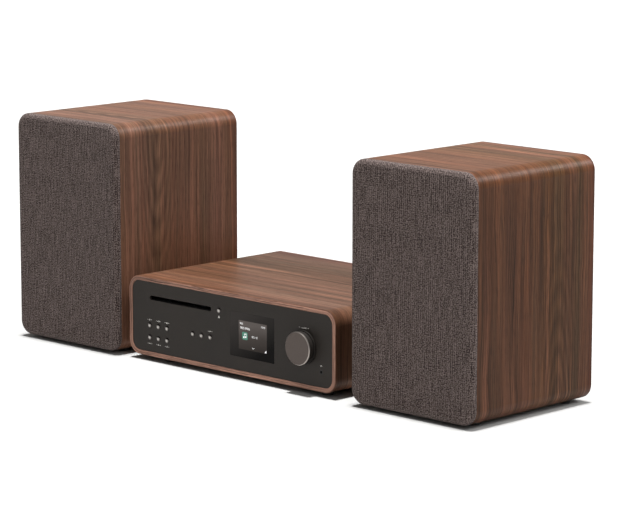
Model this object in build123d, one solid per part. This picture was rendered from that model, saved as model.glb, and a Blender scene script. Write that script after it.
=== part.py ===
from build123d import *
from math import asin, cos, pi, sin
import os

# Mini hifi system: a wood-wrapped receiver with a slot disc drive between two bookshelf speakers.
# Millimetres, +Z up, the fronts face -Y. The origin is the middle of the overall box, at its bottom.
# Each unit is drawn in its own frame (x from its middle, y from its wooden front edge, z from the
# surface it stands on) and is put in its place when it is written.

# Receiver, outside
RECEIVER_WIDTH = 400.0
RECEIVER_DEPTH = 280.0
RECEIVER_HEIGHT = 111.0  # wooden body alone
RECEIVER_FOOT_HEIGHT = 7.0
CORNER_RADIUS = 20.0
WRAP_WALL = 10.0
WRAP_LIP = 6.0  # wood seen round the front and rear panels
EDGE_ROUND = 0.8
PANEL_RECESS = 0.8
PANEL_THICKNESS = 3.0
REAR_RECESS = 6.0
SHEET = 1.2
SEAT_FIT = 0.15  # play round a panel in its rebate
THROUGH = 1.0  # how far a cutting tool runs past each face

# Speakers, outside
SPEAKER_WIDTH = 210.0
SPEAKER_DEPTH = 226.0
SPEAKER_HEIGHT = 321.0  # wooden body alone
SPEAKER_FOOT_HEIGHT = 4.0
SPEAKER_WALL = 15.0
BAFFLE_THICKNESS = 15.0
BACK_THICKNESS = 12.0
BACK_RECESS = 2.0
GRILLE_DEPTH = 10.0
GRILLE_GAP = 0.4
GRILLE_ROUND = 7.0
CLOTH = 1.2
CLOTH_FIT = 0.1
LEFT_GAP = 16.0  # left speaker to receiver
RIGHT_GAP = 35.0  # receiver to right speaker

# Front panel layout: sideways from the nearer outer side, up and down from the panel's centre line
SLOT_FROM_LEFT = 41.25
SLOT_HEIGHT = 6.3
SLOT_ABOVE = 27.2
EJECT_PAST_SLOT = 15.35
EJECT_ABOVE = 27.6
KEYS_FROM_LEFT = 41.0
KEY_PITCH = 17.4
KEY_ROW_PITCH = 17.0
KEYS_BELOW = 11.8
KEY_COLUMNS = 3
TRANSPORT_FROM_LEFT = 127.6
TRANSPORT_PITCH = 17.25
KEY_DIAMETER = 7.0
KEY_PLAY = 0.5  # radial, keeps the key's dark ring
KEY_PROUD = 1.0
KEY_TRAVEL = 0.6
KEY_FLANGE = 1.2
KEY_FLANGE_THICKNESS = 0.8
KEY_STEM_RADIUS = 1.4
SWITCH_SIDE = 6.0
SWITCH_BODY = 3.5
SWITCH_DEPTH = 3.8  # body and plunger, drawn pressed
SWITCH_PLUNGER_RADIUS = 1.7
WINDOW_WIDTH = 84.6
WINDOW_HEIGHT = 61.5
WINDOW_PAST_MIDDLE = 43.5
WINDOW_THICKNESS = 1.5
WINDOW_RADIUS = 1.5
WINDOW_FIT = 0.1
SCREEN_WIDTH = 53.6
SCREEN_HEIGHT = 39.2
SCREEN_PAST_WINDOW = 1.3
SCREEN_ABOVE = 0.3
SCREEN_FRAME_SIDE = 5.2
SCREEN_FRAME_TOP = 5.4
SCREEN_FRAME_FIT = 1.0
SCREEN_DEPTH = 3.6
SCREEN_GLASS_PLAY = 0.1
KNOB_FROM_RIGHT = 59.0
KNOB_DIAMETER = 45.0
KNOB_COLLAR = 0.8  # how far the collar stands out past the metal disc
KNOB_CAP_THICKNESS = 2.0
KNOB_SKIRT_INSET = 0.4
KNOB_GROOVE_INSET = 1.0
KNOB_SKIRT_WALL = 3.5
KNOB_STAND = 13.0  # from the panel's face
KNOB_GAP = 0.9
KNOB_PRESS = 0.5
JACK_FROM_RIGHT = 27.1
JACK_BELOW = 28.9
JACK_RADIUS = 1.8
JACK_DEPTH = 15.0
JACK_NOSE_RADIUS = 3.0

# Fits
RUNNING = 0.05  # radial play of a shaft that turns or slides
SCREW_PLAY = 0.1
HOLE_PLAY = 0.2  # radial, round a nose or a bush in a panel
TOUCH_PLAY = 0.3  # between pieces that pass each other

# Receiver, inside
FLANGE_HEIGHT = 9.0
STANDOFF = 8.0
BOARD = 1.6
FRONT_BOARD_GAP = 8.0
DISC_DIAMETER = 120.0
DISC_PLAY = 3.0  # a disc's play in the slot's width
DISC_WAY = 2.4  # half the clear height of the disc's path
DISC_BEHIND_FRONT = 10.0  # from the drive's front to a loaded disc
DISC_BEFORE_REAR = 20.0
DRIVE_PAST_SLOT = 8.5
DRIVE_BELOW_SLOT = 18.0
DRIVE_ABOVE_SLOT = 10.0
SLED_START = 25.0
SLED_TRAVEL = 33.0
SHAFT_RADIUS = 3.0
BUSH_WALL = 1.5
SHAFT_FLANGE = 1.0
FOOT_RADIUS = 8.0
FOOT_CHAMFER = 1.0
FEET_FROM_LEFT = 63.0
FEET_FROM_RIGHT = 34.0
FEET_FROM_FRONT = 20.5
FEET_FROM_REAR = 30.0
FOOT_SCREW_RADIUS = 1.5
FOOT_SCREW_HEAD = 2.8
FOOT_HEAD_HEIGHT = 1.6
FOOT_RECESS_DEPTH = 3.0
FOOT_BOSS_RADIUS = 3.5
FOOT_BOSS_HEIGHT = 3.0
PANEL_SCREW_RADIUS = 1.2
PAN_HEAD = 1.9  # a pan head's radius over its shank's

# Terminals
BANANA_RADIUS = 2.05
BANANA_DEPTH = 14.0
POST_LENGTH = 19.0
POST_RADIUS = 6.5
POST_PITCH = 19.0
RECEIVER_POSTS_FROM_RIGHT = (170.0, 110.0)  # middle of each pair
RECEIVER_POSTS_BELOW = 8.0
PHONO_FROM_RIGHT = 62.0
PHONO_PITCH = 18.0
PHONO_RADIUS = 1.6
PHONO_LENGTH = 9.0
PHONO_STEP = 0.8  # the contact's mouth inside the sleeve's
AERIAL_FROM_RIGHT = 36.0
AERIAL_RADIUS = 4.7
AERIAL_LENGTH = 10.0
AERIAL_NUT = 2.0
INLET_FROM_LEFT = 52.0
INLET_WIDTH = 28.0
INLET_HEIGHT = 20.0
INLET_DEPTH = 14.0
INLET_PIN_SPACING = 8.6
INLET_FIT = 0.15
VENT_ROWS = 2
VENT_COLUMNS = 12
VENT_PITCH = 7.0
VENT_ROW_PITCH = 16.0
VENT_LENGTH = 12.0
VENT_WIDTH = 2.6
VENTS_FROM_LEFT = 112.0
VENTS_ABOVE = 4.0

# Speakers, inside
WOOFER_FLANGE = 70.0
WOOFER_ABOVE_BOTTOM = 105.0
WOOFER_TRAVEL = 3.0
TWEETER_FLANGE = 47.0
TWEETER_BODY = 30.0
TWEETER_HORN = 33.0
DRIVER_SPACING = 12.0  # between the two flanges
DRIVER_FLANGE_THICKNESS = 4.0
DRIVER_FIT = 0.2
DRIVER_BODY_PLAY = 1.0  # round a driver's body in the baffle
WOOFER_LAND = 9.0  # the part of the flange that rests on the baffle
CONE_RADIUS = 48.0
SURROUND_ROLL = 9.0
SURROUND_SKIN = 0.8
SURROUND_LAND = 4.0
COIL_RADIUS = 13.1
COIL_PLAY = 0.4
PORT_RADIUS = 22.0
PORT_WALL = 2.0
PORT_LENGTH = 95.0
PORT_ABOVE_BOTTOM = 236.0
TERMINAL_ABOVE_BOTTOM = 90.0
TERMINAL_WIDTH = 90.0
TERMINAL_HEIGHT = 60.0
TERMINAL_THICKNESS = 3.0
TERMINAL_WINDOW_INSET = 14.0
GRILLE_RING = 32.0
GRILLE_BAR_BACK = -4.0
PEG_INSET = 25.0
PEG_RADIUS = 3.0
PEG_LENGTH = 8.0
PEG_FIT = 0.08
SPEAKER_FEET_INSET = 25.0

# Places worked out from the sizes above
SLOT_WIDTH = DISC_DIAMETER + DISC_PLAY
BUSH_RADIUS = SHAFT_RADIUS + BUSH_WALL
AERIAL_NECK = AERIAL_RADIUS + 0.3  # the part under the nut
PANEL_BACK = PANEL_RECESS + PANEL_THICKNESS
PANEL_WIDTH = RECEIVER_WIDTH - 2 * WRAP_LIP - 2 * SEAT_FIT
PANEL_HEIGHT = RECEIVER_HEIGHT - 2 * WRAP_LIP - 2 * SEAT_FIT
PANEL_RADIUS = CORNER_RADIUS - WRAP_LIP - SEAT_FIT
CENTRE_Z = RECEIVER_FOOT_HEIGHT + RECEIVER_HEIGHT / 2
INNER_FLOOR = RECEIVER_FOOT_HEIGHT + WRAP_WALL
CHASSIS_TOP = INNER_FLOOR + SHEET
REAR_FACE = RECEIVER_DEPTH - REAR_RECESS
REAR_INNER = REAR_FACE - SHEET
LEFT_SIDE = -RECEIVER_WIDTH / 2
RIGHT_SIDE = RECEIVER_WIDTH / 2
SLOT_X = LEFT_SIDE + SLOT_FROM_LEFT + SLOT_WIDTH / 2
SLOT_Z = CENTRE_Z + SLOT_ABOVE
EJECT_X = LEFT_SIDE + SLOT_FROM_LEFT + SLOT_WIDTH + EJECT_PAST_SLOT
EJECT_Z = CENTRE_Z + EJECT_ABOVE
KNOB_X = RIGHT_SIDE - KNOB_FROM_RIGHT
JACK_X = RIGHT_SIDE - JACK_FROM_RIGHT
JACK_Z = CENTRE_Z - JACK_BELOW
WINDOW_X = WINDOW_PAST_MIDDLE
SCREEN_X = WINDOW_X + SCREEN_PAST_WINDOW
SCREEN_Z = CENTRE_Z + SCREEN_ABOVE
KNOB_FRONT = PANEL_RECESS - KNOB_STAND
BOARD_FRONT = PANEL_BACK + FRONT_BOARD_GAP
DRIVE_FRONT = PANEL_BACK + TOUCH_PLAY
DRIVE_BOTTOM = SLOT_Z - DRIVE_BELOW_SLOT
DISC_Y = DRIVE_FRONT + DISC_BEHIND_FRONT + DISC_DIAMETER / 2
SPEAKER_MIDDLE = SPEAKER_FOOT_HEIGHT + SPEAKER_HEIGHT / 2
BACK_FACE = SPEAKER_DEPTH - BACK_RECESS
BACK_INNER = BACK_FACE - BACK_THICKNESS
TERMINAL_FACE = BACK_FACE + TERMINAL_THICKNESS
WOOFER_Z = SPEAKER_FOOT_HEIGHT + WOOFER_ABOVE_BOTTOM
TWEETER_Z = WOOFER_Z + WOOFER_FLANGE + DRIVER_SPACING + TWEETER_FLANGE
PORT_Z = SPEAKER_FOOT_HEIGHT + PORT_ABOVE_BOTTOM
TERMINAL_Z = SPEAKER_FOOT_HEIGHT + TERMINAL_ABOVE_BOTTOM

FRONT_PROUD = max(-KNOB_FRONT, GRILLE_DEPTH)
REAR_END = max(REAR_FACE + POST_LENGTH, TERMINAL_FACE + POST_LENGTH)
FRONT_Y = -(FRONT_PROUD + REAR_END) / 2 + FRONT_PROUD
TOTAL_WIDTH = 2 * SPEAKER_WIDTH + LEFT_GAP + RECEIVER_WIDTH + RIGHT_GAP
LEFT_X = -TOTAL_WIDTH / 2 + SPEAKER_WIDTH / 2
RIGHT_X = TOTAL_WIDTH / 2 - SPEAKER_WIDTH / 2
RECEIVER_X = -TOTAL_WIDTH / 2 + SPEAKER_WIDTH + LEFT_GAP + RECEIVER_WIDTH / 2

KEYS_X = LEFT_SIDE + KEYS_FROM_LEFT
TRANSPORT_X = LEFT_SIDE + TRANSPORT_FROM_LEFT
KEYS_Z = CENTRE_Z - KEYS_BELOW
LOWER_KEYS_Z = KEYS_Z - KEY_ROW_PITCH
KEY_PLACES = {
    "standby_key": (KEYS_X, KEYS_Z),
    "source_key": (KEYS_X + KEY_PITCH, KEYS_Z),
    "menu_key": (KEYS_X + 2 * KEY_PITCH, KEYS_Z),
    "back_key": (KEYS_X, LOWER_KEYS_Z),
    "preset_key": (KEYS_X + KEY_PITCH, LOWER_KEYS_Z),
    "info_key": (KEYS_X + 2 * KEY_PITCH, LOWER_KEYS_Z),
    "previous_key": (TRANSPORT_X, KEYS_Z),
    "play_key": (TRANSPORT_X + TRANSPORT_PITCH, KEYS_Z),
    "next_key": (TRANSPORT_X + 2 * TRANSPORT_PITCH, KEYS_Z),
    "eject_key": (EJECT_X, EJECT_Z),
}

# Front boards, carried on bosses behind the panel
BOSS_RADIUS = 3.0
BOSS_INSET = 7.0
BOSS_SCREW_DEPTH = 7.0
BOARDS_ABOVE_FLOOR = 5.5
LEFT_BOARD_X = (KEYS_X - 17.0, KEY_PLACES["next_key"][0] + 27.5)
LEFT_BOARD_Z = (INNER_FLOOR + BOARDS_ABOVE_FLOOR, DRIVE_BOTTOM - 4.0)
EJECT_BOARD_X = (EJECT_X - 6.0, EJECT_X + 10.0)
EJECT_BOARD_Z = (EJECT_Z - 21.0, EJECT_Z + 8.0)
RIGHT_BOARD_X = (KNOB_X - 41.0, RIGHT_SIDE - WRAP_WALL - 6.0)
RIGHT_BOARD_Z = (INNER_FLOOR + BOARDS_ABOVE_FLOOR, CENTRE_Z + 32.0)
EJECT_BOSS = (EJECT_X + 2.0, EJECT_Z - 14.0)
LEFT_BOSSES = [
    (LEFT_BOARD_X[0] + BOSS_INSET, LEFT_BOARD_Z[0] + BOSS_INSET),
    (LEFT_BOARD_X[0] + BOSS_INSET, LEFT_BOARD_Z[1] - BOSS_INSET),
    ((LEFT_BOARD_X[0] + LEFT_BOARD_X[1]) / 2, LEFT_BOARD_Z[0] + BOSS_INSET),
    (LEFT_BOARD_X[1] - BOSS_INSET, LEFT_BOARD_Z[0] + BOSS_INSET),
]
RIGHT_BOSSES = [
    (RIGHT_BOARD_X[0] + BOSS_INSET, RIGHT_BOARD_Z[0] + BOSS_INSET),
    (RIGHT_BOARD_X[0] + BOSS_INSET, RIGHT_BOARD_Z[1] - BOSS_INSET),
    (RIGHT_BOARD_X[1] - BOSS_INSET, RIGHT_BOARD_Z[1] - BOSS_INSET),
    (JACK_X - 14.0, RIGHT_BOARD_Z[0] + BOSS_INSET),
]
SOCKET_SIDE = 11.0
SOCKET_FIT = 0.2

# The disc drive's box, then the boards on the chassis floor between its brackets and beside them
DRIVE_X = (SLOT_X - SLOT_WIDTH / 2 - DRIVE_PAST_SLOT, SLOT_X + SLOT_WIDTH / 2 + DRIVE_PAST_SLOT)
DRIVE_Y = (DRIVE_FRONT, DISC_Y + DISC_DIAMETER / 2 + DISC_BEFORE_REAR)
DRIVE_Z = (DRIVE_BOTTOM, SLOT_Z + DRIVE_ABOVE_SLOT)
MAIN_BOARD_X = (DRIVE_X[1] + 32.25, RIGHT_SIDE - 24.0)
MAIN_BOARD_Y = (60.0, REAR_INNER - 24.0)
POWER_BOARD_X = (DRIVE_X[0] + 1.25, DRIVE_X[1] - 2.75)
POWER_BOARD_Y = (56.0, REAR_INNER - 34.0)
DECK_Z = CHASSIS_TOP + STANDOFF
STANDOFF_INSET = 6.0
STANDOFF_RADIUS = 3.0
FOOT_PLACES = [
    (x, y)
    for x in (LEFT_SIDE + FEET_FROM_LEFT, RIGHT_SIDE - FEET_FROM_RIGHT)
    for y in (FEET_FROM_FRONT, RECEIVER_DEPTH - FEET_FROM_REAR)
]
REAR_SHOULDER = (WRAP_LIP + WRAP_WALL) / 2
REAR_SCREW_DEPTH = 8.0
REAR_SCREW_HEAD = 1.9
FLANGE_SCREW_DEPTH = 3.0
REAR_SCREWS = [
    (side * (RECEIVER_WIDTH / 2 - REAR_SHOULDER), CENTRE_Z + up * RECEIVER_HEIGHT / 5)
    for side in (-1, 1)
    for up in (-1, 1)
] + [
    (side * RECEIVER_WIDTH / 4, CENTRE_Z + RECEIVER_HEIGHT / 2 - REAR_SHOULDER)
    for side in (-1, 1)
]
FLANGE_SCREW_Z = INNER_FLOOR + FLANGE_HEIGHT / 2 + 1.0
FLANGE_SCREWS = [(share * RECEIVER_WIDTH / 3, FLANGE_SCREW_Z) for share in (-1, 0, 1)]
POSTS = [
    (RIGHT_SIDE - middle + side * POST_PITCH / 2, CENTRE_Z - RECEIVER_POSTS_BELOW)
    for middle in RECEIVER_POSTS_FROM_RIGHT
    for side in (-1, 1)
]
PHONOS = [(RIGHT_SIDE - PHONO_FROM_RIGHT, CENTRE_Z + side * PHONO_PITCH / 2) for side in (-1, 1)]
AERIAL = (RIGHT_SIDE - AERIAL_FROM_RIGHT, CENTRE_Z + PHONO_PITCH / 2)
INLET = (LEFT_SIDE + INLET_FROM_LEFT, CENTRE_Z - RECEIVER_POSTS_BELOW)
SPEAKER_POSTS = [(side * POST_PITCH / 2, TERMINAL_Z) for side in (-1, 1)]


def slab(outline, front, depth):
    """Extrude an outline, drawn in X and Z, backwards from y = front."""
    return extrude(Plane.XZ.offset(-front) * outline, amount=-depth)


def box(x, y, z):
    """A box between two limits on each axis."""
    size = (x[1] - x[0], y[1] - y[0], z[1] - z[0])
    return Pos(sum(x) / 2, sum(y) / 2, sum(z) / 2) * Box(*size)


def rod(x, z, radius, front, depth):
    """A round bar along Y."""
    return slab(Pos(x, z) * Circle(radius), front, depth)


def turned(edges, x=0.0, z=0.0):
    """Turn a closed outline of (radius, y) round the Y line at x and z."""
    return Pos(x, 0, z) * revolve(make_face(edges), Axis.Y)


def lathe(points, x=0.0, z=0.0):
    """Turn a polygon of (radius, y) points round the Y line at x and z."""
    return turned(Polyline(*points, close=True), x, z)


def dome(apex, rim):
    """A spherical arc of (radius, y), from the axis at y = apex out to the rim point."""
    rise = rim[1] - apex
    radius = (rim[0] ** 2 + rise**2) / (2 * rise)
    turn = asin(rim[0] / radius) / 2
    return ThreePointArc((0, apex), (radius * sin(turn), apex + radius * (1 - cos(turn))), rim)


def through_rod(x, z, radius, front, depth):
    """A round cutting tool that runs past both faces."""
    return rod(x, z, radius, front - THROUGH, depth + 2 * THROUGH)


def screw_hole(x, z, front, depth):
    """The hole for one of the receiver's panel screws, open past both faces."""
    return through_rod(x, z, PANEL_SCREW_RADIUS + SCREW_PLAY, front, depth)


def pan_screw(x, z, radius, face, depth, head=None):
    """A pan-head screw along Y; its head stands in front of the face, or behind for negative depth."""
    head = head or PAN_HEAD * radius
    side = 1 if depth > 0 else -1
    crown = face - side * radius
    shoulder = face - side * radius * 0.7
    points = [(0, face + depth), (radius, face + depth), (radius, face), (head, face)]
    points += [(head, shoulder), (head * 0.7, crown), (0, crown)]
    return lathe(points, x, z)


# Receiver


def receiver_cabinet():
    """The wooden wrap, open at the front and rear, with a rebate for each panel."""
    middle = Pos(0, CENTRE_Z)
    outline = RectangleRounded(RECEIVER_WIDTH, RECEIVER_HEIGHT, CORNER_RADIUS)
    wood = slab(middle * outline, 0, RECEIVER_DEPTH)
    ends = wood.edges().group_by(Axis.Y)
    wood = fillet(ends[0] + ends[-1], EDGE_ROUND)
    hollow = RectangleRounded(
        RECEIVER_WIDTH - 2 * WRAP_WALL, RECEIVER_HEIGHT - 2 * WRAP_WALL, CORNER_RADIUS - WRAP_WALL
    )
    rebate = RectangleRounded(
        RECEIVER_WIDTH - 2 * WRAP_LIP, RECEIVER_HEIGHT - 2 * WRAP_LIP, CORNER_RADIUS - WRAP_LIP
    )
    wood -= slab(middle * hollow, -THROUGH, RECEIVER_DEPTH + 2 * THROUGH)
    wood -= slab(middle * rebate, -THROUGH, THROUGH + PANEL_BACK)
    wood -= slab(middle * rebate, REAR_INNER, RECEIVER_DEPTH)
    for x, z in REAR_SCREWS:
        wood -= screw_hole(x, z, REAR_INNER - REAR_SCREW_DEPTH, REAR_SCREW_DEPTH)
    for x, y in FOOT_PLACES:
        hole = Cylinder(FOOT_SCREW_RADIUS + SCREW_PLAY, WRAP_WALL + 2 * THROUGH)
        wood -= Pos(x, y, RECEIVER_FOOT_HEIGHT + WRAP_WALL / 2) * hole
    return [wood]


def receiver_feet():
    """Four tapered rubber feet, each with a recess for its screw."""
    feet = []
    for x, y in FOOT_PLACES:
        foot = Pos(x, y, RECEIVER_FOOT_HEIGHT / 2) * Cylinder(FOOT_RADIUS, RECEIVER_FOOT_HEIGHT)
        foot = chamfer(foot.edges().group_by(Axis.Z)[0], FOOT_CHAMFER)
        recess = Cylinder(FOOT_SCREW_HEAD + 2 * HOLE_PLAY, FOOT_RECESS_DEPTH)
        foot -= Pos(x, y, FOOT_RECESS_DEPTH / 2) * recess
        hole = Cylinder(FOOT_SCREW_RADIUS + SCREW_PLAY, RECEIVER_FOOT_HEIGHT)
        foot -= Pos(x, y, RECEIVER_FOOT_HEIGHT / 2) * hole
        feet.append(foot)
    return feet


def key_hole(x, z):
    """The round hole that a key stands in."""
    return through_rod(x, z, KEY_DIAMETER / 2 + KEY_PLAY, PANEL_RECESS, PANEL_THICKNESS)


def receiver_front_panel():
    """The dark moulded panel, with every opening and its board bosses."""
    panel = slab(
        Pos(0, CENTRE_Z) * RectangleRounded(PANEL_WIDTH, PANEL_HEIGHT, PANEL_RADIUS),
        PANEL_RECESS,
        PANEL_THICKNESS,
    )
    panel = fillet(panel.edges().group_by(Axis.Y)[0], EDGE_ROUND / 2)
    for x, z in LEFT_BOSSES + RIGHT_BOSSES + [EJECT_BOSS]:
        panel += rod(x, z, BOSS_RADIUS, PANEL_BACK, FRONT_BOARD_GAP)
        panel -= screw_hole(x, z, PANEL_BACK + 2.5, FRONT_BOARD_GAP - 2.5)
    front = PANEL_RECESS - THROUGH
    through = PANEL_THICKNESS + 2 * THROUGH
    panel -= slab(Pos(SLOT_X, SLOT_Z) * SlotOverall(SLOT_WIDTH, SLOT_HEIGHT), front, through)
    for x, z in KEY_PLACES.values():
        panel -= key_hole(x, z)
    pocket = RectangleRounded(WINDOW_WIDTH, WINDOW_HEIGHT, WINDOW_RADIUS)
    panel -= slab(Pos(WINDOW_X, CENTRE_Z) * pocket, front, THROUGH + WINDOW_THICKNESS)
    screen_hole = Rectangle(
        SCREEN_WIDTH + 2 * (SCREEN_FRAME_SIDE + SCREEN_FRAME_FIT),
        SCREEN_HEIGHT + 2 * (SCREEN_FRAME_TOP + SCREEN_FRAME_FIT),
    )
    panel -= slab(Pos(SCREEN_X, SCREEN_Z) * screen_hole, front, through)
    panel -= rod(KNOB_X, CENTRE_Z, BUSH_RADIUS + HOLE_PLAY, front, through)
    panel -= rod(JACK_X, JACK_Z, JACK_NOSE_RADIUS + HOLE_PLAY, front, through)
    for x, z in FLANGE_SCREWS:
        panel -= screw_hole(x, z, PANEL_BACK - 1.0, SHEET)
    return [panel]


def display_window():
    """The gloss window, flush in the panel."""
    outline = RectangleRounded(
        WINDOW_WIDTH - 2 * WINDOW_FIT, WINDOW_HEIGHT - 2 * WINDOW_FIT, WINDOW_RADIUS - WINDOW_FIT
    )
    return [slab(Pos(WINDOW_X, CENTRE_Z) * outline, PANEL_RECESS, WINDOW_THICKNESS)]


def display_module():
    """The screen: a framed cell glued behind the window, and the glass in it."""
    front = PANEL_RECESS + WINDOW_THICKNESS
    place = Pos(SCREEN_X, SCREEN_Z)
    outline = RectangleRounded(
        SCREEN_WIDTH + 2 * SCREEN_FRAME_SIDE, SCREEN_HEIGHT + 2 * SCREEN_FRAME_TOP, 1.0
    )
    frame = slab(place * outline, front, SCREEN_DEPTH)
    frame -= slab(place * Rectangle(SCREEN_WIDTH, SCREEN_HEIGHT), front - THROUGH, THROUGH + 0.5)
    pane = Rectangle(SCREEN_WIDTH - 2 * SCREEN_GLASS_PLAY, SCREEN_HEIGHT - 2 * SCREEN_GLASS_PLAY)
    glass = slab(place * pane, front + 0.2, 0.3)
    return [frame, glass]


def key(x, z):
    """One domed key with a flange that holds it behind the panel, and a stem to its switch."""
    radius = KEY_DIAMETER / 2
    edge = PANEL_RECESS - KEY_PROUD * 0.4
    crown = PANEL_RECESS - KEY_PROUD
    flange = PANEL_BACK + TOUCH_PLAY
    stem = BOARD_FRONT - SWITCH_DEPTH - 0.1 - KEY_TRAVEL
    outline = dome(crown, (radius, edge)) + Polyline(
        (radius, edge),
        (radius, flange),
        (radius + KEY_FLANGE, flange),
        (radius + KEY_FLANGE, flange + KEY_FLANGE_THICKNESS),
        (KEY_STEM_RADIUS, flange + KEY_FLANGE_THICKNESS),
        (KEY_STEM_RADIUS, stem),
        (0, stem),
        (0, crown),
    )
    return turned(outline, x, z)


KNOB_BOSS_WALL = 2.95
NUT_THICKNESS = 1.9
NUT_RADIUS = BUSH_RADIUS + 2.5
ENCODER_FRONT = PANEL_BACK + 0.8
ENCODER_CAVITY = (BOARD_FRONT - 5.2, BOARD_FRONT - 1.6)
ENCODER_SIDE = 2 * BUSH_RADIUS + 5.0
SHAFT_FRONT = KNOB_FRONT + KNOB_CAP_THICKNESS + 1.6
SHAFT_FLANGE_RADIUS = SHAFT_RADIUS + SHAFT_FLANGE
PLUNGER_RADIUS = SHAFT_RADIUS - 0.8


def knob_cap():
    """The bevelled metal disc on the knob's front."""
    radius = KNOB_DIAMETER / 2
    back = KNOB_FRONT + KNOB_CAP_THICKNESS
    points = [(0, KNOB_FRONT), (radius - 1.0, KNOB_FRONT), (radius, KNOB_FRONT + 1.0)]
    points += [(radius, back), (0, back)]
    return [lathe(points, KNOB_X, CENTRE_Z)]


def knob_body():
    """The dark skirt of the knob, with a stepped collar and a boss round the shaft."""
    radius = KNOB_DIAMETER / 2
    skirt = radius - KNOB_SKIRT_INSET
    groove = radius - KNOB_GROOVE_INSET
    collar = radius + KNOB_COLLAR
    hollow = radius - KNOB_SKIRT_WALL
    front = KNOB_FRONT + KNOB_CAP_THICKNESS
    back = PANEL_RECESS - KNOB_GAP
    bore = SHAFT_RADIUS + RUNNING
    boss = bore + KNOB_BOSS_WALL
    boss_end = back - NUT_THICKNESS - 1.5
    points = [(0, front), (skirt, front), (skirt, back - 3.4), (groove, back - 3.0), (groove, back - 2.6)]
    points += [(collar, back - 2.4), (collar, back), (hollow, back), (hollow, front + 3.2)]
    points += [(boss, front + 3.2), (boss, boss_end), (bore, boss_end), (bore, SHAFT_FRONT - 0.1)]
    points += [(0, SHAFT_FRONT - 0.1)]
    return [lathe(points, KNOB_X, CENTRE_Z)]




def encoder_shaft():
    """The shaft under the knob, with the flange that holds it in the encoder."""
    front = ENCODER_CAVITY[0] + 0.4
    back = front + 1.0
    points = [(0, SHAFT_FRONT), (SHAFT_RADIUS, SHAFT_FRONT), (SHAFT_RADIUS, front)]
    points += [(SHAFT_FLANGE_RADIUS, front), (SHAFT_FLANGE_RADIUS, back), (0, back)]
    return [lathe(points, KNOB_X, CENTRE_Z)]


def encoder_plunger():
    """The push-switch plunger behind the shaft."""
    front = ENCODER_CAVITY[0] + 1.4
    return [rod(KNOB_X, CENTRE_Z, PLUNGER_RADIUS, front, ENCODER_CAVITY[1] - front - KNOB_PRESS - 0.2)]


def front_board():
    """Three circuit boards on the panel's bosses, with the key switches and the encoder's housing."""
    thickness = (BOARD_FRONT, BOARD_FRONT + BOARD)
    left = box(LEFT_BOARD_X, thickness, LEFT_BOARD_Z)
    right = box(RIGHT_BOARD_X, thickness, RIGHT_BOARD_Z)
    eject = box(EJECT_BOARD_X, thickness, EJECT_BOARD_Z) - screw_hole(*EJECT_BOSS, BOARD_FRONT, BOARD)
    socket = Rectangle(SOCKET_SIDE + 2 * SOCKET_FIT, SOCKET_SIDE + 2 * SOCKET_FIT)
    right -= slab(Pos(JACK_X, JACK_Z) * socket, BOARD_FRONT - THROUGH, BOARD + 2 * THROUGH)
    for x, z in LEFT_BOSSES:
        left -= screw_hole(x, z, BOARD_FRONT, BOARD)
    for x, z in RIGHT_BOSSES:
        right -= screw_hole(x, z, BOARD_FRONT, BOARD)
    pieces = [left, right, eject]
    for x, z in KEY_PLACES.values():
        switch = slab(Pos(x, z) * Rectangle(SWITCH_SIDE, SWITCH_SIDE), BOARD_FRONT - SWITCH_BODY, SWITCH_BODY)
        switch += rod(x, z, SWITCH_PLUNGER_RADIUS, BOARD_FRONT - SWITCH_DEPTH, 1.0)
        pieces.append(switch)
    return pieces + encoder_housing()


def encoder_housing():
    """The encoder's housing with its threaded bush, and the nut that holds it to the panel."""
    place = Pos(KNOB_X, CENTRE_Z)
    bush_front = PANEL_RECESS - NUT_THICKNESS - 0.5
    block = RectangleRounded(ENCODER_SIDE, ENCODER_SIDE, 1.0)
    housing = slab(place * block, ENCODER_FRONT, BOARD_FRONT - ENCODER_FRONT)
    housing += rod(KNOB_X, CENTRE_Z, BUSH_RADIUS, bush_front, ENCODER_FRONT - bush_front)
    cavity_depth = ENCODER_CAVITY[1] - ENCODER_CAVITY[0]
    bore_depth = ENCODER_CAVITY[0] - bush_front
    housing -= rod(KNOB_X, CENTRE_Z, SHAFT_RADIUS + RUNNING, bush_front - THROUGH, bore_depth + 2 * THROUGH)
    housing -= rod(KNOB_X, CENTRE_Z, SHAFT_FLANGE_RADIUS + 0.6, ENCODER_CAVITY[0], cavity_depth)
    nut = slab(place * RegularPolygon(NUT_RADIUS, 6), PANEL_RECESS - NUT_THICKNESS, NUT_THICKNESS)
    nut -= through_rod(KNOB_X, CENTRE_Z, BUSH_RADIUS, PANEL_RECESS - NUT_THICKNESS, NUT_THICKNESS)
    return [housing, nut]


def headphone_socket():
    """The headphone jack: a block on the right board with its nose in the panel."""
    place = Pos(JACK_X, JACK_Z)
    socket = slab(place * RectangleRounded(SOCKET_SIDE, SOCKET_SIDE, 1.0), PANEL_BACK, JACK_DEPTH)
    socket += rod(JACK_X, JACK_Z, JACK_NOSE_RADIUS, PANEL_RECESS, PANEL_THICKNESS + 1)
    socket += slab(place * Rectangle(SOCKET_SIDE + 2, SOCKET_SIDE + 2), BOARD_FRONT - 2, 2)
    socket -= rod(JACK_X, JACK_Z, JACK_RADIUS, PANEL_RECESS - THROUGH, THROUGH + JACK_DEPTH)
    return [socket]


def standoffs(x, y):
    """The places of the four pillars near the corners of a board."""
    return [
        (pillar_x, pillar_y)
        for pillar_x in (x[0] + STANDOFF_INSET, x[1] - STANDOFF_INSET)
        for pillar_y in (y[0] + STANDOFF_INSET, y[1] - STANDOFF_INSET)
    ]


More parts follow.
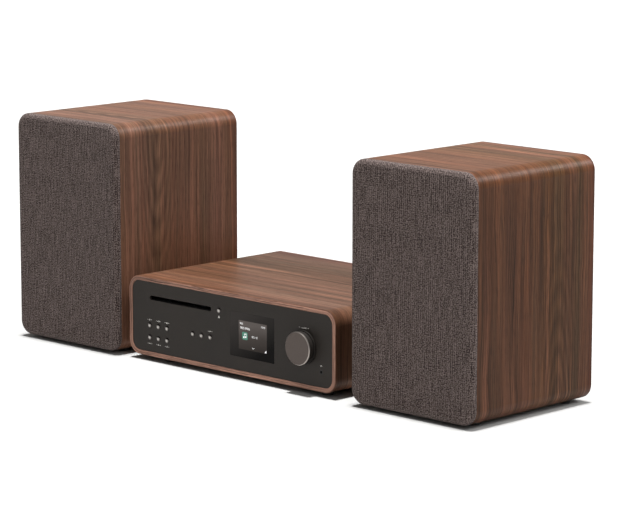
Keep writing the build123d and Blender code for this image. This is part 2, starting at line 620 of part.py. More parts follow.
BOARD_PILLARS = standoffs(MAIN_BOARD_X, MAIN_BOARD_Y) + standoffs(POWER_BOARD_X, POWER_BOARD_Y)
BRACKET_Y = (BOARD_FRONT + BOARD + 12.0, DRIVE_Y[1] - 14.0)
BRACKET_FLANGE = 9.0
BRACKET_RISE = 10.0  # of the side wall past the drive's floor


def receiver_chassis():
    """The folded steel tray, its board pillars, and the two brackets that carry the disc drive."""
    half = RECEIVER_WIDTH / 2 - CORNER_RADIUS
    tray = box((-half, half), (PANEL_BACK, REAR_INNER), (INNER_FLOOR, CHASSIS_TOP))
    for y in ((PANEL_BACK, PANEL_BACK + SHEET), (REAR_INNER - SHEET, REAR_INNER)):
        tray += box((-half, half), y, (INNER_FLOOR, INNER_FLOOR + FLANGE_HEIGHT))
    for x, y in BOARD_PILLARS:
        tray += Pos(x, y, CHASSIS_TOP + STANDOFF / 2) * Cylinder(STANDOFF_RADIUS, STANDOFF)
        hole = Cylinder(PANEL_SCREW_RADIUS + SCREW_PLAY, STANDOFF)
        tray -= Pos(x, y, CHASSIS_TOP + STANDOFF / 2 + THROUGH) * hole
    for x, y in FOOT_PLACES:
        tray += Pos(x, y, CHASSIS_TOP + FOOT_BOSS_HEIGHT / 2) * Cylinder(FOOT_BOSS_RADIUS, FOOT_BOSS_HEIGHT)
        hole = Cylinder(FOOT_SCREW_RADIUS + SCREW_PLAY, 2 * (SHEET + FOOT_BOSS_HEIGHT + THROUGH))
        tray -= Pos(x, y, CHASSIS_TOP) * hole
    for x, z in FLANGE_SCREWS:
        tray -= screw_hole(x, z, PANEL_BACK, SHEET)
        tray -= screw_hole(x, z, REAR_INNER - SHEET, SHEET)
    return [tray] + [drive_bracket(side, x) for side, x in zip((-1, 1), DRIVE_X)]


def drive_bracket(side, x):
    """A folded bracket at the drive's side x: foot on the tray, wall, and a shelf under the drive."""
    wall = sorted((x, x + side * SHEET))
    foot = sorted((x, x + side * BRACKET_FLANGE))
    shelf = sorted((x + side * SHEET, x - side * BRACKET_FLANGE))
    bracket = box(wall, BRACKET_Y, (CHASSIS_TOP, DRIVE_BOTTOM + BRACKET_RISE))
    bracket += box(foot, BRACKET_Y, (CHASSIS_TOP, CHASSIS_TOP + SHEET))
    return bracket + box(shelf, BRACKET_Y, (DRIVE_BOTTOM - SHEET, DRIVE_BOTTOM))


DECK_TOP = SLOT_Z - 7.2
DECK_UNDER = DECK_TOP - SHEET
DRIVE_SLOT_HEIGHT = 7.2
ROLLER_RADIUS = 4.5
ROLLER_WAIST = 0.8
ROLLER_Y = DRIVE_FRONT + 9.8
ROLLER_Z = SLOT_Z - DISC_WAY - 0.3 - ROLLER_RADIUS
ROLLER_HALF = SLOT_WIDTH / 2 - 0.5
EAR_GAP = 1.5
EAR_THICKNESS = 3.0
EAR_HALF = 4.0
SPINDLE_RADIUS = 1.5
PLATTER_RADIUS = 14.0
PLATTER_THICKNESS = 1.2
MOTOR_RADIUS = 10.0
MOTOR_HEIGHT = 8.0
SLED_HALF = 24.0
SLED_DEPTH = 20.0
SLED_WINDOW_PLAY = 3.0
ROD_SPREAD = 20.0
ROD_RADIUS = 1.5
ROD_Z = SLOT_Z - 10.5
ROD_POST = (-3.5, -0.5)  # a rod's end post, from the edge of the sled's window
SLED_Y = DISC_Y + SLED_START
SLED_WINDOW_Y = (
    SLED_Y - SLED_DEPTH / 2 - SLED_WINDOW_PLAY,
    SLED_Y + SLED_TRAVEL + SLED_DEPTH / 2 + 2 * SLED_WINDOW_PLAY,
)


def disc_drive_frame():
    """The drive's steel box, deck, sled rods, motor can, roller ears and upper clamp."""
    inner_x, inner_y, inner_z = [(low + SHEET, high - SHEET) for low, high in (DRIVE_X, DRIVE_Y, DRIVE_Z)]
    shell = box(DRIVE_X, DRIVE_Y, DRIVE_Z) - box(inner_x, inner_y, inner_z)
    mouth = Rectangle(SLOT_WIDTH + 1, DRIVE_SLOT_HEIGHT)
    shell -= slab(Pos(SLOT_X, SLOT_Z) * mouth, DRIVE_Y[0] - THROUGH, SHEET + 2 * THROUGH)
    ear_y = (ROLLER_Y - EAR_HALF, ROLLER_Y + EAR_HALF)
    ear_z = (inner_z[0], ROLLER_Z + 3.5)
    ear_inner = ROLLER_HALF + EAR_GAP
    for side in (-1, 1):
        ear_x = sorted((SLOT_X + side * ear_inner, SLOT_X + side * (ear_inner + EAR_THICKNESS)))
        shell += box(ear_x, ear_y, ear_z)
    axle_hole = Rot(0, 90, 0) * Cylinder(SPINDLE_RADIUS + RUNNING, 2 * (ear_inner + EAR_THICKNESS + THROUGH))
    shell -= Pos(SLOT_X, ROLLER_Y, ROLLER_Z) * axle_hole

    deck = box(inner_x, (ROLLER_Y + 14, inner_y[1]), (DECK_UNDER, DECK_TOP))
    deck -= Pos(SLOT_X, DISC_Y, DECK_TOP) * Cylinder(SPINDLE_RADIUS + 2.5, 6.0)
    window_x = (SLOT_X - SLED_HALF - SLED_WINDOW_PLAY, SLOT_X + SLED_HALF + SLED_WINDOW_PLAY)
    deck -= box(window_x, SLED_WINDOW_Y, (DECK_UNDER - THROUGH, DECK_TOP + THROUGH))
    return [shell, deck, sled_rails(), spindle_motor(), disc_clamp(inner_z[1])]


def sled_rails():
    """The two rods that the sled runs on, and their four posts under the deck."""
    front, rear = SLED_WINDOW_Y
    rails = None
    for side in (-1, 1):
        x = SLOT_X + side * ROD_SPREAD
        for y in ((front + ROD_POST[0], front + ROD_POST[1]), (rear - ROD_POST[1], rear - ROD_POST[0])):
            post = box((x - 4, x + 4), y, (ROD_Z - 2 * ROD_RADIUS, DECK_UNDER))
            rails = post if rails is None else rails + post
        rails += rod(x, ROD_Z, ROD_RADIUS, front - 3, rear - front + 6)
    return rails


def spindle_motor():
    """The motor's can under the deck, bored for the hub's spindle."""
    can = Pos(SLOT_X, DISC_Y, DECK_UNDER - MOTOR_HEIGHT / 2) * Cylinder(MOTOR_RADIUS, MOTOR_HEIGHT)
    return can - Pos(SLOT_X, DISC_Y, DECK_UNDER - 2.6) * Cylinder(SPINDLE_RADIUS + RUNNING, 6.0)


def disc_clamp(ceiling):
    """The upper clamp over a loaded disc: a stem from the drive's roof, and a pad."""
    base = SLOT_Z + 6.0
    stem = Pos(SLOT_X, DISC_Y, (base + ceiling) / 2) * Cylinder(5.0, ceiling - base)
    return stem + Pos(SLOT_X, DISC_Y, base - 1.0) * Cylinder(PLATTER_RADIUS, 2.0)


def disc_turntable():
    """The disc's hub: platter, centring cone and spindle."""
    top = SLOT_Z - DISC_WAY - 0.2
    platter = SLOT_Z - 4.4
    under = platter - PLATTER_THICKNESS
    base = DECK_UNDER - 5.2
    outline = Polyline(
        (0, base),
        (SPINDLE_RADIUS, base),
        (SPINDLE_RADIUS, under),
        (PLATTER_RADIUS, under),
        (PLATTER_RADIUS, platter),
        (7.4, platter),
        (6.4, top),
        (0, top),
        close=True,
    )
    hub = revolve(Plane.XZ * make_face(outline), Axis.Z)
    return [Pos(SLOT_X, DISC_Y, 0) * hub]


def laser_sled():
    """The pickup block on its two rods, with its lens."""
    front = SLED_Y - SLED_DEPTH / 2
    width = (SLOT_X - SLED_HALF, SLOT_X + SLED_HALF)
    block = box(width, (front, front + SLED_DEPTH), (ROD_Z - ROD_RADIUS - 1.3, SLOT_Z - 6.0))
    for side in (-1, 1):
        block -= through_rod(SLOT_X + side * ROD_SPREAD, ROD_Z, ROD_RADIUS + RUNNING, front, SLED_DEPTH)
    lens = Pos(SLOT_X, SLED_Y, SLOT_Z - 5.4) * Cylinder(3.5, 1.2)
    return [block, lens]


def feed_roller():
    """The waisted rubber roller that draws a disc in, and its axle."""
    outline = Polyline(
        (SPINDLE_RADIUS, -ROLLER_HALF),
        (ROLLER_RADIUS, -ROLLER_HALF),
        (ROLLER_RADIUS - ROLLER_WAIST, 0),
        (ROLLER_RADIUS, ROLLER_HALF),
        (SPINDLE_RADIUS, ROLLER_HALF),
        close=True,
    )
    place = Pos(SLOT_X, ROLLER_Y, ROLLER_Z) * Rot(0, 0, 90)
    rubber = place * revolve(make_face(outline), Axis.Y)
    axle = place * Rot(90, 0, 0) * Cylinder(SPINDLE_RADIUS, 2 * (ROLLER_HALF + EAR_GAP + EAR_THICKNESS))
    return [rubber, axle]


def board(x, y):
    """A circuit board on the chassis pillars, with its screw holes."""
    plate = box(x, y, (DECK_Z, DECK_Z + BOARD))
    for px, py in standoffs(x, y):
        plate -= Pos(px, py, DECK_Z) * Cylinder(PANEL_SCREW_RADIUS + SCREW_PLAY, 2 * (BOARD + THROUGH))
    return plate


def upright(x, y, radius, height):
    """A round component standing on a board."""
    return Pos(x, y, DECK_Z + BOARD + height / 2) * Cylinder(radius, height)


def block_on_board(x, y, width, depth, height):
    """A square component standing on a board."""
    return Pos(x, y, DECK_Z + BOARD + height / 2) * Box(width, depth, height)


def main_board():
    """The main board: heat sink on the amplifier, reservoir capacitors, radio and network modules."""
    left, right = MAIN_BOARD_X
    front, rear = MAIN_BOARD_Y
    pieces = [board(MAIN_BOARD_X, MAIN_BOARD_Y)]
    sink = block_on_board(left + 40, rear - 40, 50, 34, 6)
    for number in range(7):
        sink += block_on_board(left + 19 + 7 * number, rear - 40, 2.0, 34, 30)
    pieces.append(sink)
    for number in range(4):
        pieces.append(upright(left + 84 + 20 * number, rear - 46, 8.0, 26))
    pieces.append(block_on_board(left + 40, front + 40, 32, 32, 2.0))
    pieces.append(block_on_board(left + 92, front + 34, 34, 44, 5.0))
    pieces.append(block_on_board(right - 26, front + 40, 28, 40, 9.0))
    pieces.append(block_on_board(left + 40, front + 84, 18, 18, 1.6))
    for number in range(5):
        pieces.append(upright(left + 70 + 9 * number, front + 84, 3.2, 11))
    return pieces


def power_supply():
    """The power supply: transformer, mains capacitor, smoothing capacitors, chokes and heat sink."""
    left, right = POWER_BOARD_X
    front, rear = POWER_BOARD_Y
    pieces = [board(POWER_BOARD_X, POWER_BOARD_Y)]
    core = block_on_board(left + 38, rear - 60, 42, 36, 28)
    core += block_on_board(left + 38, rear - 60, 28, 48, 22)
    pieces.append(core)
    pieces.append(upright(left + 26, rear - 108, 11.0, 32))
    pieces.append(block_on_board(left + 60, rear - 108, 26, 16, 18))
    for number in range(3):
        pieces.append(upright(left + 84 + 18 * number, rear - 40, 7.0, 24))
    pieces.append(block_on_board(left + 96, rear - 90, 5.0, 60, 30))
    pieces.append(upright(left + 60, rear - 146, 9.0, 14))
    pieces.append(block_on_board(left + 24, rear - 16, 30, 12, 12))
    return pieces


POST_HOLE = 5.1
POST_BASE = 3.0
POST_BASE_RADIUS = 7.5
POST_STEM_RADIUS = BANANA_RADIUS + 0.95
POST_NUT = 3.0
POST_NUT_RADIUS = 6.0
POST_GROOVES = 12


def binding_post(x, z, face, wall):
    """One binding post: insulating base, drilled metal stem with its nut, and the screw cap."""
    inner = face - wall
    collar = face + POST_BASE
    mouth = face + POST_LENGTH
    floor = mouth - BANANA_DEPTH
    stem_radius = POST_STEM_RADIUS
    neck = POST_HOLE - SCREW_PLAY
    base = [(stem_radius, collar), (POST_BASE_RADIUS, collar), (POST_BASE_RADIUS, face), (neck, face)]
    base += [(neck, inner), (stem_radius, inner)]
    nut = inner - POST_NUT
    stem = [(0, inner - 8.0), (2.0, inner - 8.0), (2.0, nut), (POST_NUT_RADIUS, nut)]
    stem += [(POST_NUT_RADIUS, inner), (stem_radius, inner), (stem_radius, mouth)]
    stem += [(BANANA_RADIUS, mouth), (BANANA_RADIUS, floor), (0, floor)]
    cap = [(stem_radius, collar), (POST_RADIUS - 0.8, collar), (POST_RADIUS, collar + 0.8)]
    cap += [(POST_RADIUS, mouth - 1.0), (POST_RADIUS - 1.0, mouth), (stem_radius, mouth)]
    pieces = [lathe(points, x, z) for points in (base, stem, cap)]
    for number in range(POST_GROOVES):
        turn = Rot(0, 360 / POST_GROOVES * number, 0)
        groove = Pos(x, 0, z) * turn * Pos(POST_RADIUS + 0.3, 0, 0)
        pieces[2] -= groove * rod(0, 0, 0.7, collar + 3.0, POST_LENGTH - 8.5)
    return pieces


def receiver_posts():
    """Two pairs of binding posts for the speakers."""
    pieces = []
    for x, z in POSTS:
        pieces += binding_post(x, z, REAR_FACE, SHEET)
    return pieces


def phono_socket(x, z):
    """A phono socket: flanged housing, sleeve and centre contact."""
    face = REAR_FACE
    inner = face - SHEET
    tail = face - 6.0
    collar = face + 1.5
    mouth = face + PHONO_LENGTH
    core = mouth - PHONO_STEP
    tube = PHONO_RADIUS + 0.8
    shell = tube + 1.0
    neck = shell + 0.2
    housing = [(tube, tail), (6.0, tail), (6.0, inner), (neck, inner), (neck, face), (6.5, face)]
    housing += [(6.5, collar), (shell, collar), (shell, core), (tube, core)]
    sleeve = [(shell, collar), (4.15, collar), (4.15, mouth), (shell, mouth)]
    contact = [(0, tail), (tube, tail), (tube, core), (PHONO_RADIUS, core), (PHONO_RADIUS, face), (0, face)]
    return [lathe(points, x, z) for points in (housing, sleeve, contact)]


def mains_inlet():
    """The two-pole mains inlet: its shell, flange and two pins."""
    x, z = INLET
    place = Pos(x, z)
    flange = REAR_FACE + 1.5
    inlet = slab(place * RectangleRounded(INLET_WIDTH, INLET_HEIGHT, 2.0), REAR_FACE - 20, 20)
    inlet += slab(place * RectangleRounded(INLET_WIDTH + 5, INLET_HEIGHT + 5, 3.0), REAR_FACE, 1.5)
    inlet -= slab(place * SlotOverall(18.6, 9.4), flange - INLET_DEPTH, INLET_DEPTH + THROUGH)
    pins = [
        rod(x + side * INLET_PIN_SPACING / 2, z, 1.2, flange - INLET_DEPTH, INLET_DEPTH - 2)
        for side in (-1, 1)
    ]
    return [inlet] + pins


def aerial_socket():
    """The threaded aerial socket and its nut."""
    x, z = AERIAL
    tail = REAR_FACE - 8
    inner = REAR_FACE - SHEET
    shoulder = REAR_FACE + AERIAL_NUT
    mouth = REAR_FACE + AERIAL_LENGTH
    body = AERIAL_RADIUS + 2
    bore = AERIAL_RADIUS - 0.9
    outline = [(0, tail), (body, tail), (body, inner), (AERIAL_NECK, inner), (AERIAL_NECK, shoulder)]
    outline += [(AERIAL_RADIUS, shoulder), (AERIAL_RADIUS, mouth), (bore, mouth), (bore, mouth - 0.6)]
    outline += [(0, mouth - 0.6)]
    nut = slab(Pos(x, z) * RegularPolygon(AERIAL_NECK + 2.0, 6), REAR_FACE, AERIAL_NUT)
    return [lathe(outline, x, z), nut - through_rod(x, z, AERIAL_NECK, REAR_FACE, AERIAL_NUT)]


def rear_sockets():
    """The mains inlet, two phono sockets and the aerial socket."""
    pieces = mains_inlet()
    for phono in PHONOS:
        pieces += phono_socket(*phono)
    return pieces + aerial_socket()


def receiver_rear_panel():
    """The steel rear panel with its socket holes and vents."""
    outline = RectangleRounded(PANEL_WIDTH, PANEL_HEIGHT, PANEL_RADIUS)
    panel = slab(Pos(0, CENTRE_Z) * outline, REAR_INNER, SHEET)
    for x, z in POSTS:
        panel -= through_rod(x, z, POST_HOLE, REAR_INNER, SHEET)
    for x, z in PHONOS:
        panel -= through_rod(x, z, PHONO_RADIUS + 2.1, REAR_INNER, SHEET)
    panel -= through_rod(*AERIAL, AERIAL_NECK + SCREW_PLAY, REAR_INNER, SHEET)
    inlet = RectangleRounded(INLET_WIDTH + 2 * INLET_FIT, INLET_HEIGHT + 2 * INLET_FIT, 2.1)
    panel -= slab(Pos(*INLET) * inlet, REAR_INNER - THROUGH, SHEET + 2 * THROUGH)
    for x, z in REAR_SCREWS + FLANGE_SCREWS:
        panel -= screw_hole(x, z, REAR_INNER, SHEET)
    vent = SlotOverall(VENT_LENGTH, VENT_WIDTH, rotation=90)
    for row in range(VENT_ROWS):
        for column in range(VENT_COLUMNS):
            x = LEFT_SIDE + VENTS_FROM_LEFT + VENT_PITCH * column
            z = CENTRE_Z + VENTS_ABOVE + VENT_ROW_PITCH * row
            panel -= slab(Pos(x, z) * vent, REAR_INNER - THROUGH, SHEET + 2 * THROUGH)
    return [panel]


def receiver_screws():
    """Every screw in the receiver: feet, rear panel, front flange, front boards and chassis boards."""
    screws = []
    for x, y in FOOT_PLACES:
        shank = CHASSIS_TOP + FOOT_BOSS_HEIGHT - FOOT_RECESS_DEPTH
        screw = Pos(x, y, FOOT_RECESS_DEPTH + shank / 2) * Cylinder(FOOT_SCREW_RADIUS, shank)
        head = Cylinder(FOOT_SCREW_HEAD, FOOT_HEAD_HEIGHT)
        screws.append(screw + Pos(x, y, FOOT_RECESS_DEPTH - FOOT_HEAD_HEIGHT / 2) * head)
    for x, z in REAR_SCREWS:
        screws.append(pan_screw(x, z, PANEL_SCREW_RADIUS, REAR_FACE, -REAR_SCREW_DEPTH, REAR_SCREW_HEAD))
    for x, z in FLANGE_SCREWS:
        screws.append(pan_screw(x, z, PANEL_SCREW_RADIUS, REAR_FACE, -FLANGE_SCREW_DEPTH - 1.0))
        screws.append(pan_screw(x, z, PANEL_SCREW_RADIUS, PANEL_BACK + SHEET, -FLANGE_SCREW_DEPTH))
    for x, z in LEFT_BOSSES + RIGHT_BOSSES + [EJECT_BOSS]:
        screws.append(pan_screw(x, z, PANEL_SCREW_RADIUS, BOARD_FRONT + BOARD, -BOSS_SCREW_DEPTH))
    for x, y in BOARD_PILLARS:
        top = DECK_Z + BOARD
        shank = Pos(x, y, top - 3.0) * Cylinder(PANEL_SCREW_RADIUS, 6.0)
        screws.append(shank + Pos(x, y, top + 0.6) * Cylinder(PAN_HEAD * PANEL_SCREW_RADIUS, 1.2))
    return screws


# Speakers

INSIDE_WIDTH = SPEAKER_WIDTH - 2 * SPEAKER_WALL
INSIDE_HEIGHT = SPEAKER_HEIGHT - 2 * SPEAKER_WALL
INSIDE_RADIUS = CORNER_RADIUS - SPEAKER_WALL
BOARD_FIT = 0.1
PEGS = [
    (side * (SPEAKER_WIDTH / 2 - PEG_INSET), SPEAKER_MIDDLE + up * (SPEAKER_HEIGHT / 2 - PEG_INSET))
    for side in (-1, 1)
    for up in (-1, 1)
]
SURROUND_RADIUS = CONE_RADIUS + SURROUND_ROLL + SURROUND_LAND
BASKET_MOUTH = CONE_RADIUS + SURROUND_ROLL - 0.5
WOOFER_BODY = WOOFER_FLANGE - WOOFER_LAND - DRIVER_BODY_PLAY
WOOFER_SCREW_CIRCLE = (SURROUND_RADIUS + WOOFER_FLANGE) / 2
WOOFER_SCREW = 1.8
TWEETER_SCREW_CIRCLE = TWEETER_FLANGE - 6.0
TWEETER_SCREW = 1.5
DRIVER_SCREW_DEPTH = 12.0
DRIVER_HOLE_DEPTH = 14.0
TERMINAL_SCREW_INSET = 6.0


def diagonals(circle, z):
    """Four places on a circle round the speaker's middle line, at 45 degrees."""
    reach = circle * cos(pi / 4)
    return [(side * reach, z + up * reach) for side in (-1, 1) for up in (-1, 1)]


WOOFER_SCREWS = diagonals(WOOFER_SCREW_CIRCLE, WOOFER_Z)
TWEETER_SCREWS = diagonals(TWEETER_SCREW_CIRCLE, TWEETER_Z)
TERMINAL_SCREW_X = TERMINAL_WIDTH / 2 - TERMINAL_SCREW_INSET
TERMINAL_SCREW_Z = TERMINAL_HEIGHT / 2 - TERMINAL_SCREW_INSET
TERMINAL_SCREWS = [
    (side * TERMINAL_SCREW_X, TERMINAL_Z + up * TERMINAL_SCREW_Z) for side in (-1, 1) for up in (-1, 1)
]


def speaker_cabinet():
    """The wooden tube of a speaker."""
    middle = Pos(0, SPEAKER_MIDDLE)
    outline = RectangleRounded(SPEAKER_WIDTH, SPEAKER_HEIGHT, CORNER_RADIUS)
    wood = slab(middle * outline, 0, SPEAKER_DEPTH)
    ends = wood.edges().group_by(Axis.Y)
    wood = fillet(ends[0] + ends[-1], EDGE_ROUND)
    hollow = RectangleRounded(INSIDE_WIDTH, INSIDE_HEIGHT, INSIDE_RADIUS)
    return [wood - slab(middle * hollow, -THROUGH, SPEAKER_DEPTH + 2 * THROUGH)]


def inside_plate(front, thickness):
    """A board that fills the inside of the wooden tube."""
    outline = RectangleRounded(
        INSIDE_WIDTH - 2 * BOARD_FIT, INSIDE_HEIGHT - 2 * BOARD_FIT, INSIDE_RADIUS - BOARD_FIT
    )
    return slab(Pos(0, SPEAKER_MIDDLE) * outline, front, thickness)


def speaker_baffle():
    """The front board, cut for both drivers and the grille's pegs."""
    baffle = inside_plate(0, BAFFLE_THICKNESS)
    drivers = ((WOOFER_Z, WOOFER_FLANGE, WOOFER_BODY), (TWEETER_Z, TWEETER_FLANGE, TWEETER_BODY))
    for z, flange, body in drivers:
        baffle -= rod(0, z, flange + DRIVER_FIT, -THROUGH, THROUGH + DRIVER_FLANGE_THICKNESS)
        baffle -= through_rod(0, z, body + DRIVER_BODY_PLAY, 0, BAFFLE_THICKNESS)
    for x, z in WOOFER_SCREWS:
        baffle -= rod(x, z, WOOFER_SCREW + SCREW_PLAY, 0, DRIVER_HOLE_DEPTH)
    for x, z in TWEETER_SCREWS:
        baffle -= rod(x, z, TWEETER_SCREW + SCREW_PLAY, 0, DRIVER_HOLE_DEPTH)
    for x, z in PEGS:
        baffle -= rod(x, z, PEG_RADIUS + PEG_FIT, -THROUGH, PEG_LENGTH + 2 * THROUGH)
    return [baffle]


def speaker_back_panel():
    """The back board, cut for the port and the terminals."""
    back = inside_plate(BACK_INNER, BACK_THICKNESS)
    back -= through_rod(0, PORT_Z, PORT_RADIUS + PORT_WALL + DRIVER_FIT, BACK_INNER, BACK_THICKNESS)
    opening = Rectangle(
        TERMINAL_WIDTH - 2 * TERMINAL_WINDOW_INSET, TERMINAL_HEIGHT - 2 * TERMINAL_WINDOW_INSET
    )
    back -= slab(Pos(0, TERMINAL_Z) * opening, BACK_INNER - THROUGH, BACK_THICKNESS + 2 * THROUGH)
    for x, z in TERMINAL_SCREWS:
        back -= rod(x, z, TWEETER_SCREW + SCREW_PLAY, BACK_FACE - 10, 10 + THROUGH)
    return [back]


def grille_outline(inset):
    """The grille's outline, drawn in by an inset."""
    return Pos(0, SPEAKER_MIDDLE) * RectangleRounded(
        SPEAKER_WIDTH - 2 * inset, SPEAKER_HEIGHT - 2 * inset, CORNER_RADIUS - inset
    )


def grille_blank(inset, back):
    """The grille's outer form with soft front edges, drawn in by an inset."""
    front = -GRILLE_DEPTH + inset
    blank = slab(grille_outline(inset), front, back - front)
    return fillet(blank.edges().group_by(Axis.Y)[0], GRILLE_ROUND - inset)


def grille_cloth():
    """The cloth stretched over the grille frame and down its sides."""
    return [grille_blank(0, -GRILLE_GAP) - grille_blank(CLOTH, 1.0)]


def grille_frame():
    """The moulded ring and bar under the cloth, with four pegs."""
    inset = CLOTH + CLOTH_FIT
    frame = grille_blank(inset, -GRILLE_GAP)
    opening = RectangleRounded(SPEAKER_WIDTH - 2 * GRILLE_RING, SPEAKER_HEIGHT - 2 * GRILLE_RING, 8.0)
    frame -= slab(Pos(0, SPEAKER_MIDDLE) * opening, -GRILLE_DEPTH - THROUGH, GRILLE_DEPTH + 2 * THROUGH)
    bar_z = WOOFER_Z + WOOFER_FLANGE + DRIVER_SPACING / 2
    bar_x = SPEAKER_WIDTH / 2 - GRILLE_RING + 1
    frame += box((-bar_x, bar_x), (-GRILLE_DEPTH + inset, GRILLE_BAR_BACK), (bar_z - 4, bar_z + 4))
    for x, z in PEGS:
        frame += rod(x, z, PEG_RADIUS, -GRILLE_GAP - 1, PEG_LENGTH + 1)
    return [frame]


BASKET_REAR = 41.0
BASKET_WALL = 1.6
BASKET_END = 40.0
TOP_PLATE = 5.0
MAGNET_THICKNESS = 16.0
MAGNET_RADIUS = 42.0
MAGNET_BORE = 20.0
YOKE_RADIUS = 38.0
SPIDER_RADIUS = 38.0
MAGNET_FRONT = BASKET_REAR + TOP_PLATE
MAGNET_REAR = MAGNET_FRONT + MAGNET_THICKNESS
POLE_RADIUS = COIL_RADIUS - 0.8 - COIL_PLAY


def woofer_basket():
    """The woofer's cast basket, its magnet and the steel round the voice coil."""
    seat = DRIVER_FLANGE_THICKNESS
    bend = BASKET_REAR - 3.0
    inner = BASKET_REAR - BASKET_WALL
    points = [(BASKET_MOUTH, 0), (WOOFER_FLANGE, 0), (WOOFER_FLANGE, seat), (WOOFER_BODY, seat)]
    points += [(BASKET_END, bend), (BASKET_END, BASKET_REAR), (MAGNET_BORE, BASKET_REAR)]
    points += [(MAGNET_BORE, inner), (BASKET_END - BASKET_WALL, inner)]
    points += [(BASKET_END - BASKET_WALL, bend - 0.3)]
    points += [(WOOFER_BODY - 2.1, seat + 0.6), (BASKET_MOUTH, seat + 0.6)]
    basket = lathe(points, 0, WOOFER_Z)
    for turn in (0, 90, 180, 270):
        basket -= Pos(0, 23, WOOFER_Z) * Rot(0, turn, 0) * Pos(50, 0, 0) * Box(40, 20, 36)
    for x, z in WOOFER_SCREWS:
        basket -= through_rod(x, z, WOOFER_SCREW + SCREW_PLAY, 0, seat + 2)
    gap = COIL_RADIUS + COIL_PLAY
    top_plate = [(gap, BASKET_REAR), (YOKE_RADIUS, BASKET_REAR), (YOKE_RADIUS, MAGNET_FRONT)]
    top_plate += [(gap, MAGNET_FRONT)]
    magnet = [(MAGNET_BORE, MAGNET_FRONT), (MAGNET_RADIUS, MAGNET_FRONT), (MAGNET_RADIUS, MAGNET_REAR)]
    magnet += [(MAGNET_BORE, MAGNET_REAR)]
    yoke = [(0, BASKET_REAR), (POLE_RADIUS, BASKET_REAR), (POLE_RADIUS, MAGNET_REAR)]
    yoke += [(YOKE_RADIUS, MAGNET_REAR), (YOKE_RADIUS, MAGNET_REAR + 5), (0, MAGNET_REAR + 5)]
    return [basket] + [lathe(shape, 0, WOOFER_Z) for shape in (top_plate, magnet, yoke)]


CONE_NECK = 27.4
CAP_RIM = 18.6
CAP_RISE = 7.2
CAP_WALL = 1.2


def woofer_cone():
    """The cone with its dust cap, former and voice coil, turned from one outline."""
    neck = COIL_RADIUS - 0.8
    former = neck + 0.4
    cone = [(CONE_RADIUS - 3.2, 0), (CONE_RADIUS, 0), (CONE_RADIUS, 1.2), (former + 0.5, CONE_NECK)]
    cone += [(neck, CONE_NECK), (neck, CONE_NECK - 2.8)]
    tube = [(neck, 24.0), (former, 24.0), (former, 52.0), (neck, 52.0)]
    coil = [(former - 0.1, 42.0), (COIL_RADIUS, 42.0), (COIL_RADIUS, 50.0), (former - 0.1, 50.0)]
    slope = (CONE_NECK - 2.8) / (CONE_RADIUS - 3.2 - neck)
    rim = (CONE_RADIUS - 3.2 - CAP_RIM) * slope
    edge = rim + 0.4
    apex = edge - CAP_RISE
    cap = dome(apex, (CAP_RIM, edge)) + Line((CAP_RIM, edge), (CAP_RIM, edge + CAP_WALL))
    cap += dome(apex + CAP_WALL, (CAP_RIM, edge + CAP_WALL)) + Line((0, apex + CAP_WALL), (0, apex))
    outline = make_face(cap)
    for points in (cone, tube, coil):
        outline += make_face(Polyline(*points, close=True))
    return [Pos(0, 0, WOOFER_Z) * revolve(outline, Axis.Y)]


def woofer_suspension():
    """The rubber surround round the cone, and the spider behind it."""
    skin = SURROUND_SKIN
    tongue = CONE_RADIUS - 2.8
    middle = CONE_RADIUS + SURROUND_ROLL / 2
    outer = CONE_RADIUS + SURROUND_ROLL
    crest = -skin - SURROUND_ROLL / 2
    outline = Polyline((tongue, 0), (tongue, -skin), (CONE_RADIUS, -skin))
    outline += ThreePointArc((CONE_RADIUS, -skin), (middle, crest), (outer, -skin))
    outline += Polyline((outer, -skin), (SURROUND_RADIUS, -skin), (SURROUND_RADIUS, 0), (outer - skin, 0))
    outline += Line((outer - skin, 0), (outer - skin, -skin))
    outline += ThreePointArc((outer - skin, -skin), (middle, crest + skin), (CONE_RADIUS + skin, -skin))
    outline += Polyline((CONE_RADIUS + skin, -skin), (CONE_RADIUS + skin, 0), (tongue, 0))
    rear = BASKET_REAR - BASKET_WALL
    coil = COIL_RADIUS - 0.3
    spider = [(SPIDER_RADIUS, rear - 0.8), (SPIDER_RADIUS, rear), (30.0, rear), (coil, 33.4), (coil, 32.6)]
    spider += [(30.0, rear - 0.8)]
    return [turned(outline, 0, WOOFER_Z), lathe(spider, 0, WOOFER_Z)]


def tweeter():
    """The tweeter: face plate with a shallow horn, dome and magnet."""
    throat = 13.4
    rear = DRIVER_FLANGE_THICKNESS + 2.4
    plate = ThreePointArc((TWEETER_HORN, 0), (22.0, 2.6), (throat, rear - 1.0))
    plate += Polyline(
        (throat, rear - 1.0),
        (throat, rear),
        (TWEETER_BODY, rear),
        (TWEETER_BODY, DRIVER_FLANGE_THICKNESS),
        (TWEETER_FLANGE, DRIVER_FLANGE_THICKNESS),
        (TWEETER_FLANGE, 0),
        (TWEETER_HORN, 0),
    )
    face = turned(plate, 0, TWEETER_Z)
    for x, z in TWEETER_SCREWS:
        face -= through_rod(x, z, TWEETER_SCREW + SCREW_PLAY, 0, rear)
    edge = throat - 0.2
    diaphragm = dome(rear - 4.8, (edge, rear)) + Polyline((edge, rear), (0, rear), (0, rear - 4.8))
    can = TWEETER_BODY - 1.0
    magnet = [(0, rear), (can - 2, rear), (can, rear + 2), (can, 30.0), (can - 2, 32.0), (0, 32.0)]
    return [face, turned(diaphragm, 0, TWEETER_Z), lathe(magnet, 0, TWEETER_Z)]


